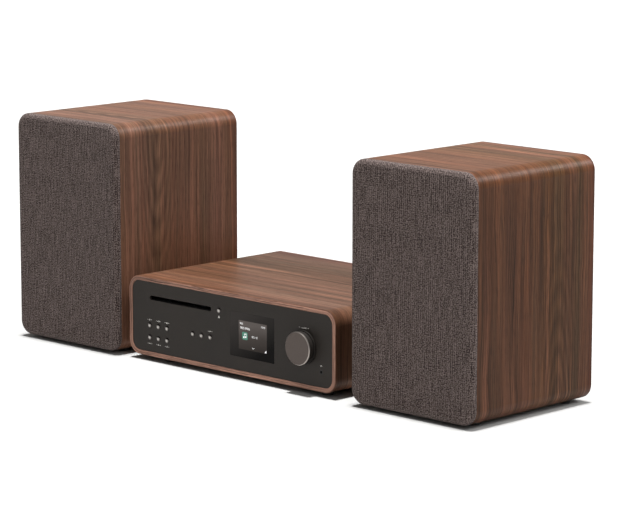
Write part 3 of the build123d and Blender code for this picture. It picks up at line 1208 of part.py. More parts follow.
def port_tube():
    """The reflex port: outer flange, tube and a flared inner mouth."""
    outer = PORT_RADIUS + PORT_WALL
    mouth = BACK_FACE + 2.5
    inner = BACK_FACE - PORT_LENGTH
    outline = Polyline(
        (outer, inner + 6),
        (outer, BACK_FACE),
        (outer + 10, BACK_FACE),
        (outer + 10, mouth - 1),
        (outer + 9, mouth),
        (outer + 2, mouth),
    )
    outline += ThreePointArc((outer + 2, mouth), (PORT_RADIUS + 1.2, mouth - 1.2), (PORT_RADIUS, mouth - 4))
    outline += Line((PORT_RADIUS, mouth - 4), (PORT_RADIUS, inner + 6))
    outline += ThreePointArc((PORT_RADIUS, inner + 6), (PORT_RADIUS + 1.6, inner + 1.6), (outer + 4, inner))
    outline += Polyline((outer + 4, inner), (outer + 5, inner + 2), (outer, inner + 6))
    return [turned(outline, 0, PORT_Z)]


def terminal_plate():
    """The moulded terminal plate, and the crossover board held inside by the back panel."""
    outline = RectangleRounded(TERMINAL_WIDTH, TERMINAL_HEIGHT, 5.0)
    plate = slab(Pos(0, TERMINAL_Z) * outline, BACK_FACE, TERMINAL_THICKNESS)
    plate = fillet(plate.edges().group_by(Axis.Y)[-1], 1.0)
    for x, z in SPEAKER_POSTS:
        plate -= through_rod(x, z, POST_HOLE, BACK_FACE, TERMINAL_THICKNESS)
    for x, z in TERMINAL_SCREWS:
        plate -= through_rod(x, z, TWEETER_SCREW + SCREW_PLAY, BACK_FACE, TERMINAL_THICKNESS)
    rear = BACK_INNER - 6.0
    front = rear - BOARD
    crossover = box((-50, 50), (front, rear), (TERMINAL_Z - 36, TERMINAL_Z + 36))
    pieces = [plate, crossover]
    for side in (-1, 1):
        for up in (-1, 1):
            pieces.append(rod(side * 44, TERMINAL_Z + up * 30, STANDOFF_RADIUS, rear, BACK_INNER - rear))
    for x, radius in ((-28, 15.0), (24, 12.0)):
        coil = rod(x, TERMINAL_Z + 14, radius, front - 12, 12)
        pieces.append(coil - rod(x, TERMINAL_Z + 14, radius / 2, front - 13, 14))
    for x, radius in ((-30, 8.0), (0, 6.0), (26, 8.0)):
        pieces.append(rod(x, TERMINAL_Z - 18, radius, front - 22, 22))
    return pieces


def speaker_posts():
    """The speaker's pair of binding posts."""
    pieces = []
    for x, z in SPEAKER_POSTS:
        pieces += binding_post(x, z, TERMINAL_FACE, TERMINAL_THICKNESS)
    return pieces


def speaker_feet():
    """Four round rubber pads."""
    pads = []
    for side in (-1, 1):
        for y in (SPEAKER_FEET_INSET, SPEAKER_DEPTH - SPEAKER_FEET_INSET):
            x = side * (SPEAKER_WIDTH / 2 - SPEAKER_FEET_INSET)
            pad = Pos(x, y, SPEAKER_FOOT_HEIGHT / 2) * Cylinder(FOOT_RADIUS, SPEAKER_FOOT_HEIGHT)
            pads.append(chamfer(pad.edges().group_by(Axis.Z)[0], 0.8))
    return pads


def speaker_screws():
    """The screws of both drivers and the terminal plate."""
    depth = DRIVER_SCREW_DEPTH
    screws = [pan_screw(x, z, WOOFER_SCREW, 0, depth, 3.0) for x, z in WOOFER_SCREWS]
    screws += [pan_screw(x, z, TWEETER_SCREW, 0, depth, 2.6) for x, z in TWEETER_SCREWS]
    screws += [pan_screw(x, z, TWEETER_SCREW, TERMINAL_FACE, -depth, 2.8) for x, z in TERMINAL_SCREWS]
    return screws


RECEIVER_PARTS = {
    "receiver_cabinet": receiver_cabinet,
    "receiver_front_panel": receiver_front_panel,
    "receiver_rear_panel": receiver_rear_panel,
    "receiver_chassis": receiver_chassis,
    "receiver_feet": receiver_feet,
    "receiver_screws": receiver_screws,
    "receiver_posts": receiver_posts,
    "rear_sockets": rear_sockets,
    "display_window": display_window,
    "display_module": display_module,
    "knob_cap": knob_cap,
    "knob_body": knob_body,
    "encoder_shaft": encoder_shaft,
    "encoder_plunger": encoder_plunger,
    "front_board": front_board,
    "headphone_socket": headphone_socket,
    "disc_drive_frame": disc_drive_frame,
    "disc_turntable": disc_turntable,
    "laser_sled": laser_sled,
    "feed_roller": feed_roller,
    "main_board": main_board,
    "power_supply": power_supply,
}
SPEAKER_PARTS = {
    "speaker_cabinet": speaker_cabinet,
    "speaker_baffle": speaker_baffle,
    "speaker_back_panel": speaker_back_panel,
    "grille_frame": grille_frame,
    "grille_cloth": grille_cloth,
    "woofer_basket": woofer_basket,
    "woofer_cone": woofer_cone,
    "woofer_suspension": woofer_suspension,
    "tweeter": tweeter,
    "port_tube": port_tube,
    "terminal_plate": terminal_plate,
    "speaker_posts": speaker_posts,
    "speaker_feet": speaker_feet,
    "speaker_screws": speaker_screws,
}


def write(node, shapes, place):
    """Put a node's solids in their place and write them to one file."""
    solids = [place * solid for shape in shapes for solid in shape.solids()]
    export_step(Compound(label=node, children=solids), f"parts/{node}.step")


def main():
    os.makedirs("parts", exist_ok=True)
    receiver_place = Pos(RECEIVER_X, FRONT_Y, 0)
    for node, build in RECEIVER_PARTS.items():
        write(node, build(), receiver_place)
    for node, (x, z) in KEY_PLACES.items():
        write(node, [key(x, z)], receiver_place)
    for node, build in SPEAKER_PARTS.items():
        shapes = build()
        for side, x in (("left", LEFT_X), ("right", RIGHT_X)):
            write(f"{side}_{node}", shapes, Pos(x, FRONT_Y, 0))


main()
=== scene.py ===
"""Looks of a mini hifi system: a receiver with a disc slot between two bookshelf speakers."""

import logging
import math
from dataclasses import dataclass
from enum import Enum
from typing import Protocol

import bmesh
import bpy
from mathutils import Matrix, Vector


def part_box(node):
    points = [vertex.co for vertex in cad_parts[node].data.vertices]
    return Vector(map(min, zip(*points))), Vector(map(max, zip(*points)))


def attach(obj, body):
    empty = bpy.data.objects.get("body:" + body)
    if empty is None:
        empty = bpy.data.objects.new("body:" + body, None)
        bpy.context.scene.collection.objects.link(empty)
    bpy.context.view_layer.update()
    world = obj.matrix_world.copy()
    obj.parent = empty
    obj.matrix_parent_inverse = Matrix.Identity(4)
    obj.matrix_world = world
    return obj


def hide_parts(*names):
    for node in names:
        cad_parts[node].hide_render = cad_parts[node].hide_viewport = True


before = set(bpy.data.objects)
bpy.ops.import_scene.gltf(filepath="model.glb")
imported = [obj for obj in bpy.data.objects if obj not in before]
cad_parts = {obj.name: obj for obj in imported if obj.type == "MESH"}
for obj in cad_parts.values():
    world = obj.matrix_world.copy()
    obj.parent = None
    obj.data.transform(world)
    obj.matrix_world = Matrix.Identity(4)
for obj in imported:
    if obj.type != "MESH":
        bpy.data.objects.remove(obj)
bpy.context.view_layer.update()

MM = 0.001
LOG = logging.getLogger("hifi")
# The divisions of a small round shape, and a digit's height as a share of its type size.
ROUND_STEPS = 24
DIGIT_SHARE = 0.72

Point = tuple[float, float]
Size = float | tuple[float, ...]
Ramp = tuple[tuple[float, str], ...]
Tree = bpy.types.NodeTree
Socket = bpy.types.NodeSocket
Material = bpy.types.Material
Piece = bpy.types.Object
Feed = Socket | float | tuple[float, ...]
Inputs = dict[str | int, Feed]


def linear(colour: str) -> tuple[float, ...]:
    """Turns an sRGB hex colour into the linear values that a shader takes.

    Args:
        colour: six hex digits, such as "6d4a3b".

    Returns:
        Linear red, green and blue, and an alpha of one.
    """
    shares = [int(colour[i : i + 2], 16) / 255 for i in (0, 2, 4)]
    red, green, blue = (c / 12.92 if c <= 0.04045 else ((c + 0.055) / 1.055) ** 2.4 for c in shares)
    return (red, green, blue, 1.0)


BLACK = linear("000000")


def add(
    tree: Tree, kind: str, inputs: Inputs | tuple[Feed, ...] = (), stops: Ramp = (), **settings: object
) -> bpy.types.bpy_prop_collection:
    """Adds one shader node with its settings, its inputs and what they are linked from.

    Args:
        tree: the material's or the world's node tree.
        kind: the node's type without its first words, and after a point its operation, if any.
        inputs: values or output sockets, in order, or else by input name or number. A MapRange
            takes a value, the range it comes from and the range it goes to.
        stops: places and hex colours, for a node that has a colour ramp.
        **settings: the node's own properties.

    Returns:
        The new node's outputs.
    """
    kind, _, operation = kind.partition(".")
    node = tree.nodes.new(f"ShaderNode{kind}")
    for name, value in {**settings, **({"operation": operation} if operation else {})}.items():
        setattr(node, name, value)
    for number, (place, colour) in enumerate(stops):
        elements = node.color_ramp.elements
        element = elements[number] if number < 2 else elements.new(place)
        element.position = place
        element.color = linear(colour)
    for name, value in inputs.items() if isinstance(inputs, dict) else enumerate(inputs):
        if isinstance(value, Socket):
            tree.links.new(value, node.inputs[name])
        else:
            node.inputs[name].default_value = value
    return node.outputs


def blank(name: str) -> tuple[Material, Tree, Socket]:
    """Makes an empty material.

    Args:
        name: the material's name.

    Returns:
        The material, its node tree, and the position on the object at rest, in metres.
    """
    material = bpy.data.materials.new(name)
    material.use_nodes = True
    tree = material.node_tree
    tree.nodes.clear()
    return material, tree, add(tree, "TexCoord")["Object"]


def close(material: Material, inputs: Inputs) -> Material:
    """Ends a material with its shader.

    Args:
        material: the material.
        inputs: what goes into the shader's sockets.

    Returns:
        The finished material.
    """
    shader = add(material.node_tree, "BsdfPrincipled", inputs)
    add(material.node_tree, "OutputMaterial", {"Surface": shader["BSDF"]})
    return material


def speckle(tree: Tree, place: Socket, size_mm: Size, detail: float, rough: float = 0.5) -> Socket:
    """Adds a random pattern of a real size.

    Args:
        tree: the material's node tree.
        place: where each point is, in metres.
        size_mm: a speck's usual size in millimetres, one for all axes or one for each.
        detail: how many finer layers it has.
        rough: how strong the finer layers are.

    Returns:
        The pattern as a value from nought to one.
    """
    sizes = size_mm if isinstance(size_mm, tuple) else (size_mm,) * 3
    scale = tuple(1 / (size * MM) for size in sizes)
    spot = add(tree, "VectorMath.MULTIPLY", (place, scale))[0]
    noise = {"Vector": spot, "Scale": 1.0, "Detail": detail, "Roughness": rough}
    return add(tree, "TexNoise", noise)["Fac"]


def distance(tree: Tree, place: Socket, axis: Point) -> Socket:
    """Works out how far each point is from an axis that runs from front to back.

    Args:
        tree: the material's node tree.
        place: where each point is, in metres.
        axis: the x and z of the axis.

    Returns:
        The distance, in metres.
    """
    away = add(tree, "VectorMath.SUBTRACT", (place, (axis[0], 0.0, axis[1])))[0]
    away = add(tree, "VectorMath.MULTIPLY", (away, (1.0, 0.0, 1.0)))[0]
    return add(tree, "VectorMath.LENGTH", (away,))["Value"]


def outline(node: str) -> tuple[Point, Point]:
    """Gives the middle of a part and half its width and height, seen from the front."""
    low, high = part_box(node)
    return ((low.x + high.x) / 2, (low.z + high.z) / 2), ((high.x - low.x) / 2, (high.z - low.z) / 2)


class Finish(Protocol):
    """Whatever can make a material."""

    def make(self) -> Material:
        """Makes the material."""


class Grain(Enum):
    """How a plain finish's pattern runs: how far it is stretched along x, y and z."""

    EVEN = (1.0, 1.0, 1.0)
    ROLLED_ALONG_X = (40.0, 1.0, 1.0)


@dataclass(frozen=True)
class PlainFinish:
    """A finish of one material with a fine pattern of two tones and a relief of its own."""

    name: str
    tone: str
    fleck: str
    pattern_mm: float
    roughness: float
    relief_mm: float = 0.0
    metallic: float = 0.0
    specular: float = 0.5
    grain: Grain = Grain.EVEN
    mottle_mm: float = 71.43

    def make(self) -> Material:
        """Makes the material: a two-tone grain, roughness that follows it, and its relief.

        Returns:
            The material.
        """
        material, tree, place = blank(self.name)
        grit = speckle(tree, place, tuple(self.pattern_mm * share for share in self.grain.value), 3.0)
        wide = speckle(tree, place, self.mottle_mm, 2.0)
        both = add(tree, "Math.ADD", (grit, wide))[0]
        share = add(tree, "MapRange", (both, 0.7, 1.3))[0]
        colour = add(tree, "ValToRGB", (share,), ((0.0, self.tone), (1.0, self.fleck)))[0]
        rough = add(tree, "MapRange", (share, 0.0, 1.0, self.roughness * 0.88, self.roughness * 1.12))[0]
        inputs: Inputs = {"Base Color": colour, "Roughness": rough}
        inputs |= {"Metallic": self.metallic, "Specular IOR Level": self.specular}
        if self.relief_mm:
            bump = {"Height": grit, "Distance": self.relief_mm * MM, "Strength": 1.0}
            inputs["Normal"] = add(tree, "Bump", bump)[0]
        return close(material, inputs)


# ABS moulded in a spark-eroded tool: an even, dull grain with no shine.
MOULDED_ABS = PlainFinish("moulded_abs", "141212", "201d1c", 0.9, 0.55, 0.03)
# Acetal moulded for a drive's inner parts: pale grey, smooth, with a low waxy shine.
MOULDED_ACETAL = PlainFinish("moulded_acetal", "8d8a84", "a3a09a", 1.4, 0.4, 0.01)
# Aluminium sheet with a satin baked enamel: near black, warm, with a soft even sheen.
BAKED_ENAMEL = PlainFinish("baked_enamel", "2d2926", "342f2b", 1.0, 0.5, 0.004, specular=0.15)
# Steel with powder coat: slightly orange-peeled and darker than the enamel.
POWDER_COAT = PlainFinish("powder_coat", "17181a", "222325", 1.6, 0.5, 0.05, specular=0.3)
# Electro-zinc-plated steel sheet: cool grey with long faint rolling marks.
ZINC_PLATE = PlainFinish("zinc_plate", "8f9296", "a9abad", 1.2, 0.36, 0.004, 1.0, grain=Grain.ROLLED_ALONG_X)
# Steel turned and left bright: a clean grey with fine lathe lines across the axis.
TURNED_STEEL = PlainFinish("turned_steel", "97989b", "b4b5b8", 0.5, 0.28, 0.004, 1.0)
# Screws blackened in hot salts: dark, half shiny.
BLACKENED_STEEL = PlainFinish("blackened_steel", "1b1b1d", "2a2a2c", 0.8, 0.34, 0.003, 0.8)
# Moulded nitrile rubber: flat black with a dusty bloom.
MOULDED_RUBBER = PlainFinish("moulded_rubber", "121212", "1d1c1b", 1.2, 0.78, 0.02)
# Butyl rubber of a loudspeaker surround: black with a low waxy sheen.
BUTYL_RUBBER = PlainFinish("butyl_rubber", "161515", "201f1e", 1.5, 0.52, 0.006)
# Acrylic paint on the knob's skirt: dark and dull beside the metal disc.
PAINTED_SKIRT = PlainFinish("painted_skirt", "1b1816", "25211e", 0.8, 0.5, 0.006, specular=0.25)
# Medium-density fibreboard with a matt spray lacquer: faint fibre showing in black.
SPRAYED_FIBREBOARD = PlainFinish("sprayed_fibreboard", "151413", "211f1e", 1.8, 0.62, 0.03)
# Paper pulp felted on a mesh and dyed: dark, with a fibrous mottle.
FELTED_PAPER = PlainFinish("felted_paper", "1c1b1a", "302e2c", 2.2, 0.85, 0.08)
# Black ink screened on glass: the frame round the lit screen.
SCREEN_BEZEL = PlainFinish("screen_bezel", "0d0c0c", "151413", 1.0, 0.35, 0.0)
# White ink printed on the enamel: soft, not quite opaque.
PRINTED_INK = PlainFinish("printed_ink", "dedad4", "ece8e2", 0.8, 0.6, 0.0)


@dataclass(frozen=True)
class WalnutVeneer:
    """Walnut veneer wrapped round a box, grain following the wrap, under a satin lacquer.

    The bands run from the box's front to its back, because the leaf is laid with its grain
    round the wrap. A plain-sawn leaf also shows arches, where the cut grazes the yearly rings.
    """

    name: str
    node: str
    # The tones from front to back; the arches' centre, as its y and its place along the wrap;
    # how far the leaf is moved along its grain; and painted light, as a tone at two places along the wrap.
    bands: Ramp
    arch: Point
    shift: float
    painted_light_drift: tuple[Point, Point] = ((0.0, 1.0), (1.0, 1.0))
    contrast: float = 1.0
    radius: float = 20 * MM
    # The cut edge's tone: its own paler wood with painted light added.
    paler_lip_with_painted_light: str = "967060"
    dark_vein: str = "473728"
    pale_vein: str = "855743"
    sway: float = 7 * MM
    # The rings' spacing, how far they are stretched, where they fade out, and how strong they are.
    ring_pitch: float = 6.5 * MM
    ring_stretch: float = 0.16
    ring_fade: Point = (24 * MM, 52 * MM)
    ring_strength: float = 0.21
    # How strongly a streak's finer layers show.
    figure: float = 0.62

    def make(self) -> Material:
        """Makes the material: bands, streaks, arches, pores, the paler cut edge with painted light, painted
        light along the wrap, and the lacquer.

        Returns:
            The material.
        """
        material, tree, place = blank(self.name)
        low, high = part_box(self.node)
        (x, z), half = outline(self.node)
        from_middle = add(tree, "VectorMath.SUBTRACT", (place, (x, 0.0, z)))[0]
        parts = add(tree, "SeparateXYZ", (from_middle,))
        # The depth below the wrap's outer face, so that the cut edge shows its own lines.
        flat = add(tree, "VectorMath.ABSOLUTE", (from_middle,))[0]
        core = (half[0] - self.radius, 0.0, half[1] - self.radius)
        beyond = add(tree, "VectorMath.SUBTRACT", (flat, core))[0]
        beyond = add(tree, "VectorMath.MULTIPLY", (beyond, (1.0, 0.0, 1.0)))[0]
        outer = add(tree, "VectorMath.MAXIMUM", (beyond, (0.0, 0.0, 0.0)))[0]
        reach = add(tree, "VectorMath.LENGTH", (outer,))["Value"]
        below = add(tree, "Math.SUBTRACT", (self.radius, reach))[0]
        # The distance along the grain: up one side, over the top and down the other.
        climb = add(tree, "Math.SUBTRACT", (parts["Z"], parts["X"]))[0]
        rise = add(tree, "Math.SUBTRACT", (climb, self.arch[1]))[0]
        along = add(tree, "Math.ADD", (climb, self.shift))[0]
        straight = add(tree, "CombineXYZ", (along, parts["Y"], below))[0]
        # Grain is never ruled straight: it wanders by a few millimetres.
        sway = speckle(tree, straight, (170.0, 45.0, 45.0), 2.0, self.figure)
        sway = add(tree, "MapRange", (sway, 0.0, 1.0, -self.sway, self.sway))[0]
        across = add(tree, "Math.ADD", (parts["Y"], sway))[0]
        grain = add(tree, "CombineXYZ", (along, across, below))[0]
        share = add(tree, "MapRange", (across, low.y, high.y))[0]
        colour = add(tree, "ValToRGB", (share,), self.bands)[0]
        # Darker heartwood veins, and between them some paler lines.
        vein = speckle(tree, grain, (520.0, 13.0, 13.0), 5.0, self.figure)
        veins = ((0.5, 0.66, 0.4, self.dark_vein), (0.47, 0.34, 0.3, self.pale_vein))
        for none_at, full_at, most, tint in veins:
            amount = add(tree, "MapRange", (vein, none_at, full_at, 0.0, most))[0]
            colour = add(tree, "Mix", {0: amount, 6: colour, 7: linear(tint)}, data_type="RGBA")[2]
        # The cut edge round the front is paler than the face of the leaf, and is painted lighter still as
        # painted light from the front.
        edge = add(tree, "MapRange", (below, 0.1 * MM, 0.9 * MM))[0]
        colour = add(tree, "Mix", {0: edge, 6: colour, 7: linear(self.paler_lip_with_painted_light)}, data_type="RGBA")[2]
        # Yearly rings cut at a slant make arches.
        from_axis = add(tree, "Math.SUBTRACT", (across, self.arch[0]))[0]
        rise = add(tree, "Math.MULTIPLY", (rise, self.ring_stretch))[0]
        squares = add(tree, "Math.MULTIPLY", (rise, rise))[0]
        ring = add(tree, "Math.MULTIPLY_ADD", (from_axis, from_axis, squares))[0]
        ring = add(tree, "Math.SQRT", (ring,))[0]
        wave = add(tree, "Math.MULTIPLY", (ring, 2 * math.pi / self.ring_pitch))[0]
        wave = add(tree, "Math.SINE", (wave,))[0]
        strength = add(tree, "MapRange", (ring, *self.ring_fade, self.ring_strength, 0.0))[0]
        arches = add(tree, "Math.MULTIPLY_ADD", (wave, strength, 1.0))[0]
        # Painted light: the wood is painted lighter or darker along the wrap, where more or less light falls
        # on it.
        (start, start_tone), (end, end_tone) = self.painted_light_drift
        painted_light_tone = add(tree, "MapRange", (climb, start, end, start_tone, end_tone))[0]
        # Streaks of three widths. The finest real ones, 0.2 mm, are drawn 1.4 mm wide to show.
        tone = add(tree, "Math.MULTIPLY", (arches, painted_light_tone))[0]
        streaks = ((26.0, 560.0, 3.0, 0.1), (8.0, 420.0, 4.0, 0.24), (1.4, 230.0, 3.0, 0.44))
        for width, length, detail, change in streaks:
            streak = speckle(tree, grain, (length, width, width), detail, self.figure)
            change *= self.contrast
            streak = add(tree, "MapRange", (streak, 0.34, 0.66, 1 - change, 1 + change), clamp=False)[0]
            tone = add(tree, "Math.MULTIPLY", (tone, streak))[0]
        # Open pores: short dark dashes with the grain.
        pores = speckle(tree, grain, (18.0, 1.2, 1.2), 1.0, self.figure)
        pore = add(tree, "MapRange", (pores, 0.34, 0.46, 0.7, 1.0))[0]
        tone = add(tree, "Math.MULTIPLY", (tone, pore))[0]
        tint = add(tree, "CombineColor", (tone, tone, tone))[0]
        both = {0: 1.0, 6: colour, 7: tint}
        colour = add(tree, "Mix", both, data_type="RGBA", blend_type="MULTIPLY")[2]
        rough = add(tree, "MapRange", (tone, 0.5, 1.3, 0.46, 0.36))[0]
        bump = add(tree, "Bump", {"Height": pore, "Distance": 0.03 * MM, "Strength": 0.6})[0]
        inputs = {"Base Color": colour, "Roughness": rough, "Specular IOR Level": 0.12}
        return close(material, {**inputs, "Normal": bump})


@dataclass(frozen=True)
class HeatherCloth:
    """Acoustic cloth woven from melange polyester yarn: flecked brown-grey, with light warp lines."""

    name: str = "heather_cloth"
    dark: str = "171110"
    body: str = "403431"
    light: str = "766965"
    # The yarns' real spacing is 0.5 mm. They are drawn this coarse, which is as fine as shows.
    warp_mm: float = 3.4
    weft_mm: float = 2.5
    # How far each thread wanders from its straight line.
    wander: float = 5.0

    def make(self) -> Material:
        """Makes the material from the cloth's own flat coordinates, which are in metres.

        Returns:
            The material.
        """
        material, tree, _ = blank(self.name)
        flat = add(tree, "UVMap", uv_map="cloth")["UV"]
        parts = add(tree, "SeparateXYZ", (flat,))
        flecks = {}
        # Each fleck's name, width, height and finer layers.
        for name, width, height, detail in (
            ("melange", 1.3, 1.8, 1.0),
            ("slub", 1.6, 26.0, 2.0),
            ("pick", 14.0, 1.6, 2.0),
            ("shade", 26.0, 60.0, 2.0),
        ):
            flecks[name] = speckle(tree, flat, (width, height, 1.0), detail, 0.6)
        threads = []
        for axis, spacing, wander in (("X", self.warp_mm, "slub"), ("Y", self.weft_mm, "pick")):
            turns = 2 * math.pi / (spacing * MM)
            angle = add(tree, "Math.MULTIPLY", (parts[axis], turns))[0]
            angle = add(tree, "Math.MULTIPLY_ADD", (flecks[wander], self.wander, angle))[0]
            wave = add(tree, "Math.SINE", (angle,))[0]
            threads.append(add(tree, "MapRange", (wave, -1.0, 1.0))[0])
        weave = add(tree, "Math.MULTIPLY", (threads[0], threads[1]))[0]
        tone = flecks["melange"]
        yarns = (weave, threads[0], flecks["slub"], flecks["pick"], flecks["shade"])
        for part, amount in zip(yarns, (0.1, 0.04, 0.42, 0.12, 0.02)):
            tone = add(tree, "Math.MULTIPLY_ADD", (part, amount, tone))[0]
        share = add(tree, "MapRange", (tone, 0.65, 0.92))[0]
        stops = ((0.0, self.dark), (0.45, self.body), (0.6, self.body), (1.0, self.light))
        colour = add(tree, "ValToRGB", (share,), stops)[0]
        weave = add(tree, "Math.MULTIPLY_ADD", (flecks["melange"], 3.0, weave))[0]
        bump = add(tree, "Bump", {"Height": weave, "Distance": 0.16 * MM, "Strength": 1.0})[0]
        inputs = {"Base Color": colour, "Roughness": 0.92, "Specular IOR Level": 0.2, "Normal": bump}
        return close(material, {**inputs, "Sheen Weight": 0.04, "Sheen Roughness": 0.5})


@dataclass(frozen=True)
class WindowAcrylic:
    """Polished acrylic, printed black behind except where the lit screen shows through, with a painted
    reflection that is greyer towards the top left.
    """

    middle: Point
    size: Point
    name: str = "window_acrylic"
    # The painted reflection's fall of tone: its slant, and where it starts and ends from the middle.
    painted_reflection_slant: float = 0.6
    painted_reflection: Point = (-38 * MM, 42 * MM)
    cloud_mm: float = 22.22
    dust_and_reflection_mm: float = 16.67

    def make(self) -> Material:
        """Makes the material: black gloss with a painted reflection, and the screen's own faint light inside
        its edges.

        Returns:
            The material.
        """
        material, tree, place = blank(self.name)
        parts = add(tree, "SeparateXYZ", (place,))
        inside = []
        for axis, middle, size in zip("XZ", self.middle, self.size):
            inside.append(add(tree, "Math.COMPARE", (parts[axis], middle, size / 2))[0])
        mask = add(tree, "Math.MULTIPLY", tuple(inside))[0]
        low = self.middle[1] - self.size[1] / 2
        height = add(tree, "MapRange", (parts["Z"], low, low + self.size[1]))[0]
        cloud = speckle(tree, place, self.cloud_mm, 1.0)
        height = add(tree, "Math.MULTIPLY_ADD", (cloud, 0.25, height))[0]
        glow = add(tree, "ValToRGB", (height,), ((0.0, "27221f"), (0.55, "38322f"), (1.0, "504a47")))[0]
        glow = add(tree, "Mix", {0: mask, 6: BLACK, 7: glow}, data_type="RGBA")[2]
        # One speckle gives the dust's roughness and also breaks up the painted reflection.
        dust_and_painted_reflection = speckle(tree, place, self.dust_and_reflection_mm, 4.0)
        rough = add(tree, "MapRange", (dust_and_painted_reflection, 0.0, 1.0, 0.04, 0.12))[0]
        # Painted reflection: the black is painted greyer towards the top left, with a little of the dust
        # pattern in it.
        painted_reflection = add(tree, "Math.MULTIPLY_ADD", (parts["X"], -self.painted_reflection_slant, parts["Z"]))[0]
        around = self.middle[1] - self.painted_reflection_slant * self.middle[0]
        painted_reflection = add(tree, "MapRange", (painted_reflection, around + self.painted_reflection[0], around + self.painted_reflection[1]))[0]
        painted_reflection = add(tree, "Math.MULTIPLY_ADD", (dust_and_painted_reflection, 0.1, painted_reflection))[0]
        tint = add(tree, "ValToRGB", (painted_reflection,), ((0.1, "060403"), (1.0, "393533")))[0]
        inputs = {"Base Color": tint, "Roughness": rough, "IOR": 1.49, "Specular IOR Level": 0.06}
        return close(material, {**inputs, "Emission Color": glow, "Emission Strength": 1.0})


@dataclass(frozen=True)
class AnodisedKnob:
    """Aluminium, fine-blasted and anodised warm grey, with its edge cut bright afterwards."""

    axis: Point
    face_radius: float
    name: str = "anodised_aluminium"
    tone: str = "544c48"
    fleck: str = "5c5450"
    cut: str = "a8a09a"
    blast_mm: float = 0.6

    def make(self) -> Material:
        """Makes the material: a satin face, and beyond its radius a brighter, smoother edge.

        Returns:
            The material.
        """
        material, tree, place = blank(self.name)
        reach = distance(tree, place, self.axis)
        edge = add(tree, "Math.GREATER_THAN", (reach, self.face_radius))[0]
        blast = speckle(tree, place, self.blast_mm, 2.0)
        face = add(tree, "ValToRGB", (blast,), ((0.3, self.tone), (0.7, self.fleck)))[0]
        colour = add(tree, "Mix", {0: edge, 6: face, 7: linear(self.cut)}, data_type="RGBA")[2]
        rough = add(tree, "MapRange", (edge, 0.0, 1.0, 0.38, 0.34))[0]
        bump = add(tree, "Bump", {"Height": blast, "Distance": 0.002 * MM})[0]
        return close(material, {"Base Color": colour, "Metallic": 1.0, "Roughness": rough, "Normal": bump})


@dataclass(frozen=True)
class DomedKey:
    """ABS plated with bright chrome, with a painted reflection: a painted highlight in the middle and painted
    shade round its rim.
    """

    name: str
    middle: Point
    radius: float
    # Painted reflection: the painted highlight, the painted tone between, and the painted shade at the rim.
    painted_glint: str = "c4bfbb"
    side: str = "77726e"
    painted_rim_shade: str = "2b2826"
    wear_mm: float = 0.8

    def make(self) -> Material:
        """Makes the material, with a painted highlight that fades to painted shade towards the key's rim.

        Returns:
            The material.
        """
        material, tree, place = blank(self.name)
        # The painted highlight sits a little below the key's middle.
        reach = distance(tree, place, (self.middle[0], self.middle[1] - self.radius * 0.15))
        share = add(tree, "MapRange", (reach, 0.0, self.radius * 1.1))[0]
        colour = add(tree, "ValToRGB", (share,), ((0.1, self.painted_glint), (0.55, self.side), (1.0, self.painted_rim_shade)))[0]
        wear = speckle(tree, place, self.wear_mm, 2.0)
        rough = add(tree, "MapRange", (wear, 0.0, 1.0, 0.1, 0.16))[0]
        return close(material, {"Base Color": colour, "Metallic": 1.0, "Roughness": rough})


@dataclass(frozen=True)
class LitInk:
    """A colour on the lit screen: it glows a little unevenly, as liquid crystal does."""

    name: str
    tone: str
    strength: float = 1.0
    cloud_mm: float = 2.5

    def make(self) -> Material:
        """Makes the material.

        Returns:
            The material.
        """
        material, tree, place = blank(self.name)
        cloud = speckle(tree, place, self.cloud_mm, 1.0)
        share = add(tree, "MapRange", (cloud, 0.2, 0.8, 0.82, 1.0))[0]
        glow = add(tree, "Mix", {0: share, 6: BLACK, 7: linear(self.tone)}, data_type="RGBA")[2]
        inputs = {"Base Color": BLACK, "Roughness": 0.3, "Emission Color": glow}
        return close(material, {**inputs, "Emission Strength": self.strength})


@dataclass(frozen=True)
class CircuitLaminate:
    """Glass-fibre laminate with green solder mask: faint tracks under a glossy film."""

    name: str = "circuit_laminate"
    mask: str = "143524"
    track: str = "1f4d33"
    pitch_mm: float = 2.5

    def make(self) -> Material:
        """Makes the material.

        Returns:
            The material.
        """
        material, tree, place = blank(self.name)
        spot = add(tree, "VectorMath.MULTIPLY", (place, (1 / (self.pitch_mm * MM),) * 3))[0]
        wander = add(tree, "TexNoise", {"Vector": spot, "Scale": 0.4, "Detail": 1.0})["Color"]
        spot = add(tree, "Mix", {0: 0.12, 4: spot, 5: wander}, data_type="VECTOR")[1]
        lines = add(tree, "TexBrick", {"Vector": spot, "Scale": 1.0, "Mortar Size": 0.06})["Fac"]
        colour = add(tree, "ValToRGB", (lines,), ((0.0, self.mask), (1.0, self.track)))[0]
        bump = add(tree, "Bump", {"Height": lines, "Distance": 0.03 * MM})[0]
        return close(material, {"Base Color": colour, "Roughness": 0.28, "Normal": bump})


